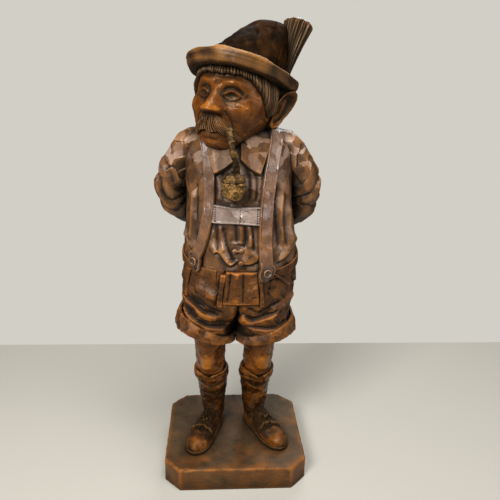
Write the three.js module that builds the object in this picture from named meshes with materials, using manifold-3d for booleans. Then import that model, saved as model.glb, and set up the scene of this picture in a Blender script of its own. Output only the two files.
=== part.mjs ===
// Tabletop wax figurine: an Alpine countryman in hat, shirt, braces and short breeches on a plinth.
// Millimetres, +Z up. The figure faces -Y. Origin: under the figure's middle, on the plinth's underside.
// Right and left are the figure's own: its right side is -X, its left side is +X.
import * as THREE from "three";
import { mergeVertices } from "three/addons/utils/BufferGeometryUtils.js";
import Module from "manifold-3d";

const wasm = await Module();
wasm.setup();

// Fits between pieces
const seam = 0.3;
const rodClearance = 0.15;

// Plinth
const plinthWidth = 147;
const plinthDepth = 133;
const plinthSetBack = 2;
const plinthHeight = 25;
const plinthCornerCut = 16.5;
const plinthWornEdge = 1.6;

// Armature and dowels
const rodRadius = 3;
const rodDepthInPlinth = 14;
const rodTopCover = 12;
const dowelRadius = 3.5;
const armDowelLength = 26;
const armDowelDrop = 10;
const armDowelBack = 5;
const neckDowelLength = 34;
const hatDowelLength = 18;
const hatDowelBack = 6;

// Shoes, measured along the foot from the heel
const heelSpread = 21;
const rightHeelBack = 24;
const leftHeelBack = 26;
const rightToeOut = THREE.MathUtils.degToRad(20);
const leftToeOut = THREE.MathUtils.degToRad(27);
const shoeLength = 69;
const soleThickness = 3.2;
const soleWelt = 0.9;
const heelHalfWidth = 11.5;
const waistOfFootHalfWidth = 11.6;
const ballHalfWidth = 13;
const ballFromHeel = 45;
const shoeAnkleHeight = 17.5;
const instepHeight = 15.5;
const toeBoxHeight = 11.2;
const tongueStart = 20;
const tongueEnd = 45;
const tongueHalfWidth = 10.6;
const tongueThickness = 2.2;
const tongueLift = 0.85;
const tongueFringes = 5;
const fringeLength = 3.5;
const fringeSlit = 1;

// Legs; each height is a rise above the one below it, and the first stands on the plinth
const leftLegInward = 2.4;
const leftAnkleInward = 0.9;
const ankleSpread = 23.6;
const ankleBack = 18;
const ankleRise = 17;
const ankleRadius = 12.6;
const calfSpread = 25.4;
const calfSetBack = 15.5;
const calfRise = 42;
const calfRadius = 16.6;
const calfBulge = 2.6;
const shinFlatness = 1;
const sockTopRise = 15;
const sockTopBack = 12.5;
const sockCuffHeight = 11;
const sockCuffThickness = 2;
const kneeSpread = 27.6;
const kneeBack = 7;
const kneeRise = 28;
const kneeRadius = 16.6;
const kneeCapBulge = 2;
const legInSock = 1.5;
const thighTopRise = 45;
const thighSpread = 29;
const thighBack = 4;
const thighRadius = 17.5;

// Breeches: the hem stands above the knee, the fork and the crotch above the hem
const trouserHemRise = 21.5;
const trouserHemSpread = 31.4;
const trouserHemMiddle = -1.8;
const trouserHemHalfWidth = 27.2;
const trouserHemDepth = 33;
const trouserForkRise = 41.5;
const trouserForkSpread = 26.4;
const trouserForkFront = 39;
const trouserForkBack = 37;
const crotchRise = 18.5;
const turnUpNearHeight = 10.5;
const turnUpFarHeight = 16;
const turnUpThickness = 4.4;
const rightTurnUpLift = 12.5;
const leftTurnUpLift = 8;

// Trunk sections: rise above the section below, half width, and depth in front of and behind the middle
const seatRise = 16;
const seatMiddle = 0.5;
const seatHalfWidth = 54.6;
const seatFront = 43;
const seatBack = 43;
const crotchNarrowing = 3;
const crotchTuck = 6;
const waistRise = 49;
const waistMiddle = 2.2;
const waistHalfWidth = 56.2;
const waistFront = 47.5;
const waistBack = 41.5;
const chestRise = 60;
const chestHalfWidth = 50.5;
const chestFront = 44.5;
const chestBack = 40;
const shoulderRise = 52;
const shoulderHalfWidth = 47;
const shoulderFront = 32;
const shoulderBack = 33;
const neckRise = 18;
const neckHalfWidth = 27;
const neckFront = 15;
const neckBack = 20;
const shoulderMiddle = -2.5;

// Waistband and what is sewn on the breeches, measured from the waist
const waistbandHeight = 9;
const waistbandThickness = 1.3;
const waistbandFrontDrop = 5;
const waistbandBackRise = 14;
const flapThickness = 2.2;
const flapLap = 0.5;
const flapHeight = 34;
const flapMiddle = 1.5;
const flapTopHalfWidth = 14.5;
const flapBottomHalfWidth = 17.2;
const flapWeltWidth = 4.2;
const flapWeltThickness = 2.8;
const flapWeltDrop = 2;
const pocketWeltThickness = 2.4;
const pocketWeltWidth = 4.4;
const pocketDrop = 3;
const rightPocketHeight = 32;
const rightPocketNear = 44.3;
const rightPocketFar = 49.3;
const leftPocketHeight = 15.5;
const leftPocketNear = 28.3;
const leftPocketFar = 44.8;
const pocketEndSlant = 2;

// Braces and chest strap; the feet of the braces and the small fasteners stand above the waist
const strapThickness = 3.2;
const rightBraceWidth = 10.8;
const leftBraceWidth = 13;
const braceTabRadius = 8.4;
const rightBraceFoot = -39.5;
const rightBraceFootRise = 7;
const rightBraceWaist = -27.5;
const rightBraceTop = -37;
const leftBraceFoot = 23.5;
const leftBraceFootRise = -0.5;
const leftBraceWaist = 22.5;
const leftBraceTop = 35;
const chestStrapDrop = 7.5;
const chestStrapWidth = 16.5;
const buttonRadius = 4.2;
const buttonThickness = 2.6;
const tieRise = 20;
const tieMiddle = -2.5;
const tieRadius = 3.6;
const studRise = 8.5;
const studMiddle = 0.5;
const studRadius = 2.4;

// Collar points, as seen from the front, measured from the shoulders
const collarThickness = 2.6;
const collarNotchDrop = 12;
const collarMiddle = -4;
const collarReach = 19.5;
const collarPointDrop = 13;
const collarTopRise = 5;
const collarSpread = 31;
const collarParting = 2;
const collarRise = 6;

// Arms, held back so that the hands meet behind the waist
const shoulderJointInset = 1.5;
const shoulderJointDrop = 4;
const shoulderJointBack = 4;
const upperArmBack = 7;
const elbowOut = 15;
const elbowDrop = 43;
const elbowBack = 18;
const rightForearmSag = 5;
const leftForearmSag = 9;
const wristSpread = 25;
const wristDrop = 35;
const wristSetBack = 10;
const sleeveShoulderRadius = 14.5;
const sleeveUpperRadius = 16.4;
const sleeveElbowRadius = 16.8;
const sleeveWristRadius = 11.5;
const sleeveFolds = 5;
const sleeveFoldDepth = 1.3;
const palmLength = 21;
const palmHalfHeight = 8.5;
const palmHalfThickness = 5;
const fingerRadius = 2.9;
const fingerLength = 12;
const fingerPitch = 4.5;
const handDroop = 5;

// Head, in its own turned frame; heights run up from under the chin
const headMiddle = -9;
const headForward = 6;
const chinDrop = 22;
const headTurn = THREE.MathUtils.degToRad(-29);
const headTilt = THREE.MathUtils.degToRad(-7);
const headRoll = THREE.MathUtils.degToRad(4);
const headHeight = 92;
const headHalfWidth = 34.5;
const headFront = 41;
const headBack = 37.5;
const chinHalfWidth = 14;
const chinForward = 19;
const noseRadius = 8.4;
const noseReach = 7;
const browThickness = 3.5;
const cheekRadius = 12.6;
const eyeSocketRadius = 6.4;
const mouthCorner = 17.5;
const earHeight = 32;
const earReach = 11.5;
const earTipOut = 0.4;
const earSweep = 0.25;
const earLean = THREE.MathUtils.degToRad(24);
const earBack = 12;
const moustacheThickness = 5;
const moustacheHalfWidth = 20.5;
const moustacheRootHalfWidth = 8.5;
const moustacheDrop = 12;
const moustacheWingDrop = 19;
const hairThickness = 3.2;
const fringeDrop = 30;
const templeDrop = 56;
const napeDrop = 70;

// Hat, in its own tilted frame on the head
const hatDepth = 31;
const hatBack = 3;
const hatTilt = THREE.MathUtils.degToRad(-11);
const brimHalfWidth = 50;
const brimHalfLength = 56;
const brimThickness = 5;
const brimRise = 9.4;
const brimTurn = 9;
const brimUnderCrown = 2;
const crownHalfWidth = 33.5;
const crownHalfLength = 41;
const crownHeight = 59.5;
const crownLean = 20;
const crownSideLean = 7;
const crownPinch = 2;
const crownPinchAngle = THREE.MathUtils.degToRad(43);
const crownPinchSpread = THREE.MathUtils.degToRad(23);
const brushAngle = THREE.MathUtils.degToRad(40);
const brushHeight = 42;
const brushPegRadius = 1.5;
const brushFootRadius = 2.4;
const brushTopRadius = 13.8;
const brushLean = 2;
const brushGrooves = 7;
const brushGrooveDepth = 1;
const knotRadius = 3.1;
const knotHeight = 12;

// Hanging pipe
const pipeMiddle = -8;
const bowlDrop = 40;
const bowlRadius = 9.8;
const bowlDepth = 16.5;
const lidDepth = 9.5;
const stemRadius = 2.6;
const stemSetBack = 4.7;
const stemSocket = 5;
const stemForward = 4;
const stemKnuckles = 4;
const stemKnuckleSwell = 0.7;

// Heights that follow from the rises and drops
const ankleHeight = plinthHeight + ankleRise;
const calfHeight = ankleHeight + calfRise;
const sockTopHeight = calfHeight + sockTopRise;
const kneeHeight = sockTopHeight + kneeRise;
const thighTopHeight = kneeHeight + thighTopRise;
const rodTopHeight = thighTopHeight + rodTopCover;
const trouserHemHeight = kneeHeight + trouserHemRise;
const trouserForkHeight = trouserHemHeight + trouserForkRise;
const crotchHeight = trouserHemHeight + crotchRise;
const seatHeight = crotchHeight + seatRise;
const waistHeight = seatHeight + waistRise;
const chestHeight = waistHeight + chestRise;
const shoulderHeight = chestHeight + shoulderRise;
const neckHeight = shoulderHeight + neckRise;
const flapTop = waistHeight + flapLap;
const flapBottom = flapTop - flapHeight;
const pocketTop = waistHeight - pocketDrop;
const chestStrapHeight = chestHeight - chestStrapDrop;
const tieHeight = waistHeight + tieRise;
const studHeight = waistHeight + studRise;
const collarNotch = shoulderHeight - collarNotchDrop;
const collarTop = shoulderHeight + collarTopRise;
const shoulderJointHeight = shoulderHeight - shoulderJointDrop;
const armDowelHeight = shoulderJointHeight - armDowelDrop;
const elbowHeight = shoulderJointHeight - elbowDrop;
const wristHeight = elbowHeight - wristDrop;
const chinHeight = neckHeight - chinDrop;
const bowlHeight = chinHeight - bowlDrop;
const hatSeat = headHeight - hatDepth;
const fringeHeight = headHeight - fringeDrop;
const templeHeight = headHeight - templeDrop;
const napeHeight = headHeight - napeDrop;

// Places of the arm's joints, which follow the trunk
const shoulderJointSpread = shoulderHalfWidth - shoulderJointInset;
const elbowSpread = chestHalfWidth + elbowOut;
const wristBack = waistBack + wristSetBack;

// Finishes
const wax = (color, roughness) => new THREE.MeshStandardMaterial({ color, roughness, metalness: 0 });
const skinWax = wax(0x8a4a1c, 0.45);
const shirtWax = wax(0x6b3d20, 0.5);
const breechesWax = wax(0x6a3a1c, 0.5);
const strapWax = wax(0x7a5440, 0.45);
const sockWax = wax(0x5e351b, 0.5);
const shoeWax = wax(0x6a3a1a, 0.45);
const hatWax = wax(0x4a2a18, 0.5);
const hairWax = wax(0x55341f, 0.55);
const pipeWax = wax(0x94601f, 0.45);
const plinthWax = wax(0x4e3628, 0.6);
const rodSteel = new THREE.MeshStandardMaterial({ color: 0x8c8c8a, roughness: 0.4, metalness: 1 });
const dowelWood = wax(0xb58a58, 0.7);

const rightSide = -1;
const leftSide = 1;
const sides = [["right", rightSide], ["left", leftSide]];
const fullTurn = Math.PI * 2;

const figure = new THREE.Group();
figure.name = "wax_figurine";

// Lofts

function vector(x, y, z) {
  return new THREE.Vector3(x, y, z);
}

function steps(from, to, count) {
  return Array.from({ length: count + 1 }, (_, i) => from + ((to - from) * i) / count);
}

function turns(count) {
  return steps(0, fullTurn, count).slice(0, count);
}

function signedVolume(positions, index) {
  const [a, b, c] = [vector(), vector(), vector()];
  let total = 0;
  for (let i = 0; i < index.length; i += 3) {
    a.fromArray(positions, index[i] * 3);
    b.fromArray(positions, index[i + 1] * 3);
    c.fromArray(positions, index[i + 2] * 3);
    total += a.dot(b.cross(c)) / 6;
  }
  return total;
}

// Skins a row of closed rings. A looped row joins its last ring to its first, otherwise the ends are capped.
function loft(rings, looped = false) {
  const around = rings[0].length;
  const positions = rings.flat().flatMap((p) => [p.x, p.y, p.z]);
  const index = [];
  const spans = looped ? rings.length : rings.length - 1;
  for (let r = 0; r < spans; r += 1) {
    const here = r * around;
    const there = ((r + 1) % rings.length) * around;
    for (let i = 0; i < around; i += 1) {
      const next = (i + 1) % around;
      index.push(here + i, here + next, there + next, here + i, there + next, there + i);
    }
  }
  const cap = (ring, start, flip) => {
    const middle = ring.reduce((sum, p) => sum.add(p), vector(0, 0, 0)).divideScalar(around);
    const hub = positions.length / 3;
    positions.push(middle.x, middle.y, middle.z);
    for (let i = 0; i < around; i += 1) {
      const next = (i + 1) % around;
      index.push(hub, start + (flip ? i : next), start + (flip ? next : i));
    }
  };
  if (!looped) {
    cap(rings[0], 0, false);
    cap(rings.at(-1), (rings.length - 1) * around, true);
  }
  const inward = signedVolume(positions, index) < 0;
  const geometry = new THREE.BufferGeometry();
  geometry.setAttribute("position", new THREE.Float32BufferAttribute(positions, 3));
  geometry.setIndex(inward ? index.reverse() : index);
  return geometry;
}

// Solids, joined and cut in the frame that their geometry is in

function solidOf(geometry) {
  const bare = geometry.clone();
  for (const name of Object.keys(bare.attributes)) {
    if (name !== "position") bare.deleteAttribute(name);
  }
  const welded = mergeVertices(bare, 1e-4);
  const mesh = new wasm.Mesh({
    numProp: 3,
    vertProperties: new Float32Array(welded.attributes.position.array),
    triVerts: new Uint32Array(welded.index.array),
  });
  return new wasm.Manifold(mesh);
}

function cut(body, ...tools) {
  return tools.reduce((rest, tool) => rest.subtract(tool), body);
}

function geometryOf(solid) {
  const mesh = solid.getMesh();
  const geometry = new THREE.BufferGeometry();
  geometry.setAttribute("position", new THREE.Float32BufferAttribute(mesh.vertProperties, 3));
  geometry.setIndex(new THREE.Uint32BufferAttribute(mesh.triVerts, 1));
  return geometry;
}

function addPiece(name, shape, material, parent = figure) {
  const geometry = shape.isBufferGeometry ? shape : geometryOf(shape);
  geometry.computeVertexNormals();
  const mesh = new THREE.Mesh(geometry, material);
  mesh.name = name;
  parent.add(mesh);
}

// Moves a geometry drawn in one group's frame into another group's frame.
function carried(geometry, from, to) {
  from.updateWorldMatrix(true, false);
  to.updateWorldMatrix(true, false);
  const matrix = to.matrixWorld.clone().invert().multiply(from.matrixWorld);
  return geometry.clone().applyMatrix4(matrix);
}

// Forms: level sections of [height, middle x, middle y, half width, front, back], smoothed between

function makeForm(sections, fullness = 2.2) {
  const heights = sections.map((section) => section[0]);
  const values = sections.flatMap((section) => section.slice(1));
  const between = new THREE.CubicInterpolant(heights, values, 5);
  const squared = (v) => Math.sign(v) * Math.abs(v) ** (2 / fullness);
  const at = (z) => [...between.evaluate(THREE.MathUtils.clamp(z, heights[0], heights.at(-1)))];
  const point = (angle, z, grow = 0) => {
    const [x, y, width, front, back] = at(z);
    const depth = Math.sin(angle) < 0 ? front : back;
    const across = (width + grow) * squared(Math.cos(angle));
    const along = (depth + grow) * squared(Math.sin(angle));
    return vector(x + across, y + along, z);
  };
  // The point of the front surface at a given place across.
  const front = (x, z, grow = 0) => {
    const [middle, , width] = at(z);
    const across = THREE.MathUtils.clamp((x - middle) / (width + grow), -1, 1);
    const cosine = Math.sign(across) * Math.abs(across) ** (fullness / 2);
    return point(-Math.acos(cosine), z, grow);
  };
  return { point, front, at, low: heights[0], high: heights.at(-1) };
}

function formLoft(form, { low = form.low, high = form.high, grow = 0, rings = 2, around = 24, levels } = {}) {
  const heights = levels ?? steps(low, high, rings);
  const rows = heights.map((z) => turns(around).map((angle) => form.point(angle, z, grow)));
  if (low === form.low) rows[0].forEach((p) => (p.z -= grow));
  if (high === form.high) rows.at(-1).forEach((p) => (p.z += grow));
  return loft(rows);
}

// A band laid round a form between two heights that may change with the angle.
function bandLoft(form, lowAt, highAt, inner, outer, { around = 28, levels = 2 } = {}) {
  const edge = 0.22;
  const shy = inner + (outer - inner) * 0.6;
  const sections = turns(around).map((angle) => {
    const low = lowAt(angle);
    const high = highAt(angle);
    const ease = Math.min((high - low) * edge, outer - inner);
    const inside = steps(high, low, levels).map((z) => form.point(angle, z, inner));
    const outside = steps(low + ease, high - ease, levels).map((z) => form.point(angle, z, outer));
    return [...inside, form.point(angle, low, shy), ...outside, form.point(angle, high, shy)];
  });
  return loft(sections, true);
}

// How far a limb's soft end stands out and how far it draws in, as shares of its radius
const limbEndSlide = 0.5;
const limbEndShrink = 0.72;

// A limb: round sections with soft ends along a smooth path, with radii spaced evenly along it.
function limbLoft(path, radii, { around = 14, rings = 14, grow = 0, shape = () => 1, squash = 1 } = {}) {
  const curve = new THREE.CatmullRomCurve3(path);
  const frames = curve.computeFrenetFrames(rings, false);
  const between = new THREE.CubicInterpolant(steps(0, 1, radii.length - 1), radii, 1);
  const ring = (k, slide, shrink) => {
    const share = k / rings;
    const plain = between.evaluate(share)[0];
    const middle = curve.getPointAt(share).addScaledVector(frames.tangents[k], slide);
    return turns(around).map((angle) => {
      const radius = (plain * shape(angle, share) + grow) * shrink;
      return middle
        .clone()
        .addScaledVector(frames.normals[k], radius * Math.cos(angle) * squash)
        .addScaledVector(frames.binormals[k], radius * Math.sin(angle));
    });
  };
  const rows = [ring(0, -limbEndSlide * (radii[0] + grow), limbEndShrink)];
  for (let k = 0; k <= rings; k += 1) rows.push(ring(k, 0, 1));
  rows.push(ring(rings, limbEndSlide * (radii.at(-1) + grow), limbEndShrink));
  return loft(rows);
}

// A round bar between two points.
function barBetween(from, to, radius, around = 8) {
  const length = from.distanceTo(to);
  const bar = new THREE.CylinderGeometry(radius, radius, length, around);
  const lean = new THREE.Quaternion().setFromUnitVectors(vector(0, 1, 0), to.clone().sub(from).normalize());
  bar.applyQuaternion(lean);
  bar.translate(...from.clone().add(to).multiplyScalar(0.5).toArray());
  return bar;
}

// A prism that pushes an outline, drawn as seen from the front, from one depth back to another.
function frontPrism(outline, nearest, farthest) {
  const prism = new THREE.ExtrudeGeometry(outline, {
    depth: farthest - nearest,
    bevelEnabled: false,
    curveSegments: 5,
  });
  prism.rotateX(Math.PI / 2);
  prism.translate(0, farthest, 0);
  return prism;
}

function polygon(...corners) {
  return new THREE.Shape(corners.map(([x, z]) => new THREE.Vector2(x, z)));
}

// Shared forms

const trunk = makeForm([
  [crotchHeight, 0, 0, seatHalfWidth - crotchNarrowing, seatFront - crotchTuck, seatBack - crotchTuck],
  [seatHeight, seatMiddle, 0, seatHalfWidth, seatFront, seatBack],
  [waistHeight, waistMiddle, 0, waistHalfWidth, waistFront, waistBack],
  [chestHeight, 0, 0, chestHalfWidth, chestFront, chestBack],
  [shoulderHeight, shoulderMiddle, 0, shoulderHalfWidth, shoulderFront, shoulderBack],
  [neckHeight, shoulderMiddle, 0, neckHalfWidth, neckFront, neckBack],
]);

// All skins of the trunk share these heights and this many points round, so that their facets run parallel.
const trunkHeights = [
  ...steps(crotchHeight, waistHeight, 4),
  ...steps(waistHeight, shoulderHeight, 5).slice(1),
  ...steps(shoulderHeight, neckHeight, 3).slice(1),
];
const trunkAround = 22;

function trunkLoft({ low = crotchHeight, high = neckHeight, grow = 0 } = {}) {
  const inside = trunkHeights.filter((z) => z > low && z < high);
  return formLoft(trunk, { low, high, grow, levels: [low, ...inside, high], around: trunkAround });
}

const legAround = 16;

// The place across of a leg's part: the left leg stands a little closer to the middle.
function legAt(side, spread, inward = leftLegInward) {
  return side === leftSide ? spread - inward : -spread;
}

function ankleAt(side) {
  return legAt(side, ankleSpread, leftAnkleInward);
}

// Where the sock ends and the bare leg begins
const sockTopSpread = (calfSpread + kneeSpread) / 2;

function legForm(side) {
  const shin = calfRadius - shinFlatness;
  const calfBack = calfRadius + calfBulge;
  return makeForm(
    [
      [ankleHeight, ankleAt(side), ankleBack, ankleRadius, ankleRadius, ankleRadius],
      [calfHeight, legAt(side, calfSpread), calfSetBack, calfRadius, shin, calfBack],
      [sockTopHeight, legAt(side, sockTopSpread), sockTopBack, calfRadius, shin, calfRadius + shinFlatness],
    ],
    2,
  );
}

function thighForm(side) {
  const bare = calfRadius - legInSock;
  return makeForm(
    [
      [sockTopHeight + seam, legAt(side, sockTopSpread), sockTopBack, bare, bare, bare],
      [kneeHeight, legAt(side, kneeSpread), kneeBack, kneeRadius, kneeRadius + kneeCapBulge, kneeRadius],
      [thighTopHeight, legAt(side, thighSpread), thighBack, thighRadius, thighRadius, thighRadius],
    ],
    2,
  );
}

function trouserForm(side) {
  const hemAcross = trouserHemMiddle + side * trouserHemSpread;
  const forkAcross = trouserHemMiddle / 2 + side * trouserForkSpread;
  return makeForm([
    [trouserHemHeight, hemAcross, 0, trouserHemHalfWidth, trouserHemDepth, trouserHemDepth],
    [trouserForkHeight, forkAcross, 0, trouserHemHalfWidth, trouserForkFront, trouserForkBack],
  ]);
}

function legRod(side, clearance = 0) {
  const foot = vector(ankleAt(side), ankleBack, plinthHeight - rodDepthInPlinth - clearance);
  const top = vector(legAt(side, thighSpread), thighBack, rodTopHeight + clearance);
  return barBetween(foot, top, rodRadius + clearance);
}

// Plinth

function plinthRing(inset, z) {
  const x = plinthWidth / 2 - inset;
  const y = plinthDepth / 2 - inset;
  const c = plinthCornerCut - inset * (2 - Math.SQRT2);
  return [
    [x, y - c],
    [x - c, y],
    [c - x, y],
    [-x, y - c],
    [-x, c - y],
    [c - x, -y],
    [x - c, -y],
    [x, c - y],
  ].map(([px, py]) => vector(px, py + plinthSetBack, z));
}

const plinthBlock = loft([
  plinthRing(0, 0),
  plinthRing(0, plinthHeight - plinthWornEdge),
  plinthRing(plinthWornEdge, plinthHeight),
]);
const rodBores = sides.map(([, side]) => solidOf(legRod(side, rodClearance)));
addPiece("plinth", cut(solidOf(plinthBlock), ...rodBores), plinthWax);

// Shoes: sections across the foot, each an arch on a flat bottom

const shoeHalfWidth = new THREE.CubicInterpolant(
  [0, 0.06, 0.22, 0.42, ballFromHeel / shoeLength, 0.86, 0.96, 1],
  [
    heelHalfWidth * 0.5,
    heelHalfWidth * 0.86,
    heelHalfWidth,
    waistOfFootHalfWidth,
    ballHalfWidth,
    ballHalfWidth * 0.84,
    ballHalfWidth * 0.5,
    ballHalfWidth * 0.22,
  ],
  1,
);
const shoeHeight = new THREE.CubicInterpolant(
  [0, 0.06, 0.25, 0.42, 0.62, 0.82, 0.95, 1],
  [
    shoeAnkleHeight * 0.7,
    shoeAnkleHeight * 0.94,
    shoeAnkleHeight,
    instepHeight,
    toeBoxHeight + 1.5,
    toeBoxHeight,
    toeBoxHeight * 0.62,
    toeBoxHeight * 0.25,
  ],
  1,
);

function shoeFrame(side) {
  const frame = new THREE.Group();
  const heelBack = side === leftSide ? leftHeelBack : rightHeelBack;
  frame.position.set(legAt(side, heelSpread), heelBack, plinthHeight + seam);
  frame.rotation.z = side === leftSide ? leftToeOut : -rightToeOut;
  figure.add(frame);
  return frame;
}

// A point of the upper: how far along the foot, how far round the arch from 0 to 1, and an offset.
function upperPoint(along, round, grow = 0) {
  const share = along / shoeLength;
  const width = shoeHalfWidth.evaluate(share)[0] + grow;
  const height = shoeHeight.evaluate(share)[0] + grow;
  const angle = Math.PI * round;
  const arch = Math.sin(angle) ** 0.8;
  return vector(width * Math.cos(angle), -along, soleThickness + seam + height * arch);
}

function upperLoft() {
  const stations = steps(0, shoeLength, 12);
  return loft(stations.map((along) => steps(0, 1, 8).map((round) => upperPoint(along, round))));
}

function soleLoft() {
  const stations = steps(0, shoeLength, 14);
  const outline = (z) => {
    const edge = (along, hand) => {
      const width = shoeHalfWidth.evaluate(along / shoeLength)[0] + soleWelt;
      const stretch = soleWelt * (2 * (along / shoeLength) - 1);
      return vector(hand * width, -along - stretch, z);
    };
    const outer = stations.map((along) => edge(along, 1));
    const inner = stations.map((along) => edge(along, -1));
    return [...outer, ...inner.reverse()];
  };
  return loft([outline(0), outline(soleThickness)]);
}

function tongueLoft() {
  const stations = steps(tongueStart, tongueEnd, 4);
  const round = (offset, along) => 0.5 - offset / (Math.PI * shoeHalfWidth.evaluate(along / shoeLength)[0]);
  const section = (along) => {
    const spread = tongueHalfWidth * (0.8 + (0.3 * (along - tongueStart)) / (tongueEnd - tongueStart));
    const offsets = steps(-spread, spread, 7);
    const over = offsets.map((x) => upperPoint(along, round(x, along), tongueLift + tongueThickness));
    const under = offsets.map((x) => upperPoint(along, round(x, along), tongueLift)).reverse();
    return [...over, ...under];
  };
  return loft(stations.map(section));
}

// The fringe is a row of notches cut into the tongue's lower edge.
function fringeNotches() {
  const pitch = (2 * tongueHalfWidth) / tongueFringes;
  const tall = 2 * shoeAnkleHeight;
  const notch = (i) => {
    const box = new THREE.BoxGeometry(fringeSlit, 2 * fringeLength, tall);
    box.translate(-tongueHalfWidth + pitch * (i + 1), -tongueEnd, tall / 2);
    return solidOf(box);
  };
  return Array.from({ length: tongueFringes - 1 }, (_, i) => notch(i));
}

for (const [hand, side] of sides) {
  const frame = shoeFrame(side);
  const inShoe = (geometry) => solidOf(carried(geometry, figure, frame));
  const bore = inShoe(legRod(side, rodClearance));
  const ankle = inShoe(formLoft(legForm(side), { grow: seam, rings: 5, around: legAround }));
  addPiece(`${hand}_sole`, cut(solidOf(soleLoft()), bore), shoeWax, frame);
  addPiece(`${hand}_shoe`, cut(solidOf(upperLoft()), bore, ankle), shoeWax, frame);
  addPiece(`${hand}_shoe_tongue`, cut(solidOf(tongueLoft()), ankle, ...fringeNotches()), shoeWax, frame);
}

// Legs

for (const [hand, side] of sides) {
  const bore = solidOf(legRod(side, rodClearance));
  const leg = legForm(side);
  const cuffLow = sockTopHeight - sockCuffHeight;
  const cuffOuter = seam + sockCuffThickness;
  const cuff = bandLoft(leg, () => cuffLow, () => sockTopHeight, seam, cuffOuter, { around: legAround });
  const knee = formLoft(thighForm(side), { rings: 4, around: legAround });
  addPiece(`${hand}_leg_rod`, legRod(side), rodSteel);
  addPiece(`${hand}_sock`, cut(solidOf(formLoft(leg, { rings: 5, around: legAround })), bore), sockWax);
  addPiece(`${hand}_sock_cuff`, cuff, sockWax);
  addPiece(`${hand}_knee`, cut(solidOf(knee), bore), skinWax);
}

// Breeches with a turned-up cuff on each leg

const thighSockets = sides.map(([, side]) =>
  solidOf(formLoft(thighForm(side), { grow: seam, rings: 4, around: legAround })),
);
const trouserAround = 20;

// How far round from the fork to the outer side of a trouser leg, from 0 to 1
function outerShare(side, angle) {
  return (1 + side * Math.cos(angle)) / 2;
}

// The hem rises from the fork to the outer side.
function hemAt(side, angle) {
  const lift = side === leftSide ? leftTurnUpLift : rightTurnUpLift;
  return trouserHemHeight + lift * outerShare(side, angle);
}

function trouserLoft(side) {
  const form = trouserForm(side);
  const point = (angle, share) => form.point(angle, THREE.MathUtils.lerp(hemAt(side, angle), form.high, share));
  return loft(steps(0, 1, 2).map((share) => turns(trouserAround).map((angle) => point(angle, share))));
}

const trouserLegs = sides.map(([, side]) => solidOf(trouserLoft(side)));
const seatPart = solidOf(trunkLoft({ high: waistHeight }));
const breeches = cut(seatPart.add(trouserLegs[0]).add(trouserLegs[1]), ...thighSockets, ...rodBores);
addPiece("breeches", breeches, breechesWax);

// Half spaces on either side of the middle, so that the two turn-ups part there
function halfSpace(side) {
  const reach = 2 * plinthWidth;
  const box = new THREE.BoxGeometry(reach, reach, reach);
  box.translate(trouserHemMiddle + side * (reach / 2 + seam), 0, trouserHemHeight);
  return solidOf(box);
}

const seatClear = solidOf(trunkLoft({ high: waistHeight, grow: seam }));
for (const [hand, side] of sides) {
  const form = trouserForm(side);
  const low = (angle) => hemAt(side, angle);
  const height = (angle) => THREE.MathUtils.lerp(turnUpNearHeight, turnUpFarHeight, outerShare(side, angle));
  const high = (angle) => low(angle) + height(angle);
  const outer = seam + turnUpThickness;
  const ring = solidOf(bandLoft(form, low, high, seam, outer, { around: trouserAround, levels: 1 }));
  const turnUp = cut(ring.intersect(halfSpace(side)), seatClear);
  addPiece(`${hand}_trouser_cuff`, turnUp, breechesWax);
}

// Skins of the trunk, from one offset out to another

function trunkSkin(inner, outer) {
  return solidOf(trunkLoft({ grow: outer })).subtract(solidOf(trunkLoft({ grow: inner })));
}

// Depths clear of the trunk, in front of and behind it
const ahead = -2 * waistFront;
const behind = 2 * waistBack;

// Head frame, and the head's form in it

const headFrame = new THREE.Group();
headFrame.position.set(headMiddle, -headForward, chinHeight);
headFrame.rotation.set(headTilt, headRoll, headTurn, "ZXY");
figure.add(headFrame);

const skull = makeForm(
  [
    [0, 0, -chinForward, chinHalfWidth, chinForward - 2, chinHalfWidth],
    [headHeight * 0.09, 0, -chinForward * 0.55, headHalfWidth * 0.66, headFront * 0.78, headBack * 0.66],
    [headHeight * 0.24, 0, -chinForward * 0.2, headHalfWidth * 0.88, headFront * 0.96, headBack * 0.88],
    [headHeight * 0.42, 0, 0, headHalfWidth, headFront, headBack * 0.97],
    [headHeight * 0.58, 0, 0, headHalfWidth * 0.97, headFront * 0.97, headBack],
    [headHeight * 0.73, 0, 0, headHalfWidth * 0.8, headFront * 0.86, headBack * 0.84],
    [headHeight * 0.87, 0, 0, headHalfWidth * 0.56, headFront * 0.58, headBack * 0.58],
    [headHeight * 0.96, 0, 0, headHalfWidth * 0.32, headFront * 0.32, headBack * 0.32],
    [headHeight, 0, 0, headHalfWidth * 0.14, headFront * 0.14, headBack * 0.14],
  ],
  2.1,
);

const skullAround = 18;

function skullLoft(grow = 0) {
  return formLoft(skull, { grow, rings: 10, around: skullAround });
}

const neckSeat = solidOf(carried(skullLoft(seam), headFrame, figure));

function neckDowel(clearance = 0) {
  const half = neckDowelLength / 2 + clearance;
  const foot = vector(headMiddle, 0, chinHeight - half);
  return barBetween(foot, foot.clone().setZ(chinHeight + half), dowelRadius + clearance);
}

// Shirt

function armDowel(side, clearance = 0) {
  const half = armDowelLength / 2 + clearance;
  const middle = shoulderMiddle + side * shoulderJointSpread;
  const from = vector(middle - half, armDowelBack, armDowelHeight);
  return barBetween(from, from.clone().setX(middle + half), dowelRadius + clearance);
}

const shirtLow = waistHeight + seam;
const shirtBlock = solidOf(trunkLoft({ low: shirtLow }));
const dowelBores = sides.map(([, side]) => solidOf(armDowel(side, rodClearance)));
const neckBore = solidOf(neckDowel(rodClearance));
addPiece("shirt_body", cut(shirtBlock, neckSeat, neckBore, ...dowelBores), shirtWax);
addPiece("neck_dowel", neckDowel(), dowelWood);

// Waistband: low in front, high behind, open where the drop front closes it

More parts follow.
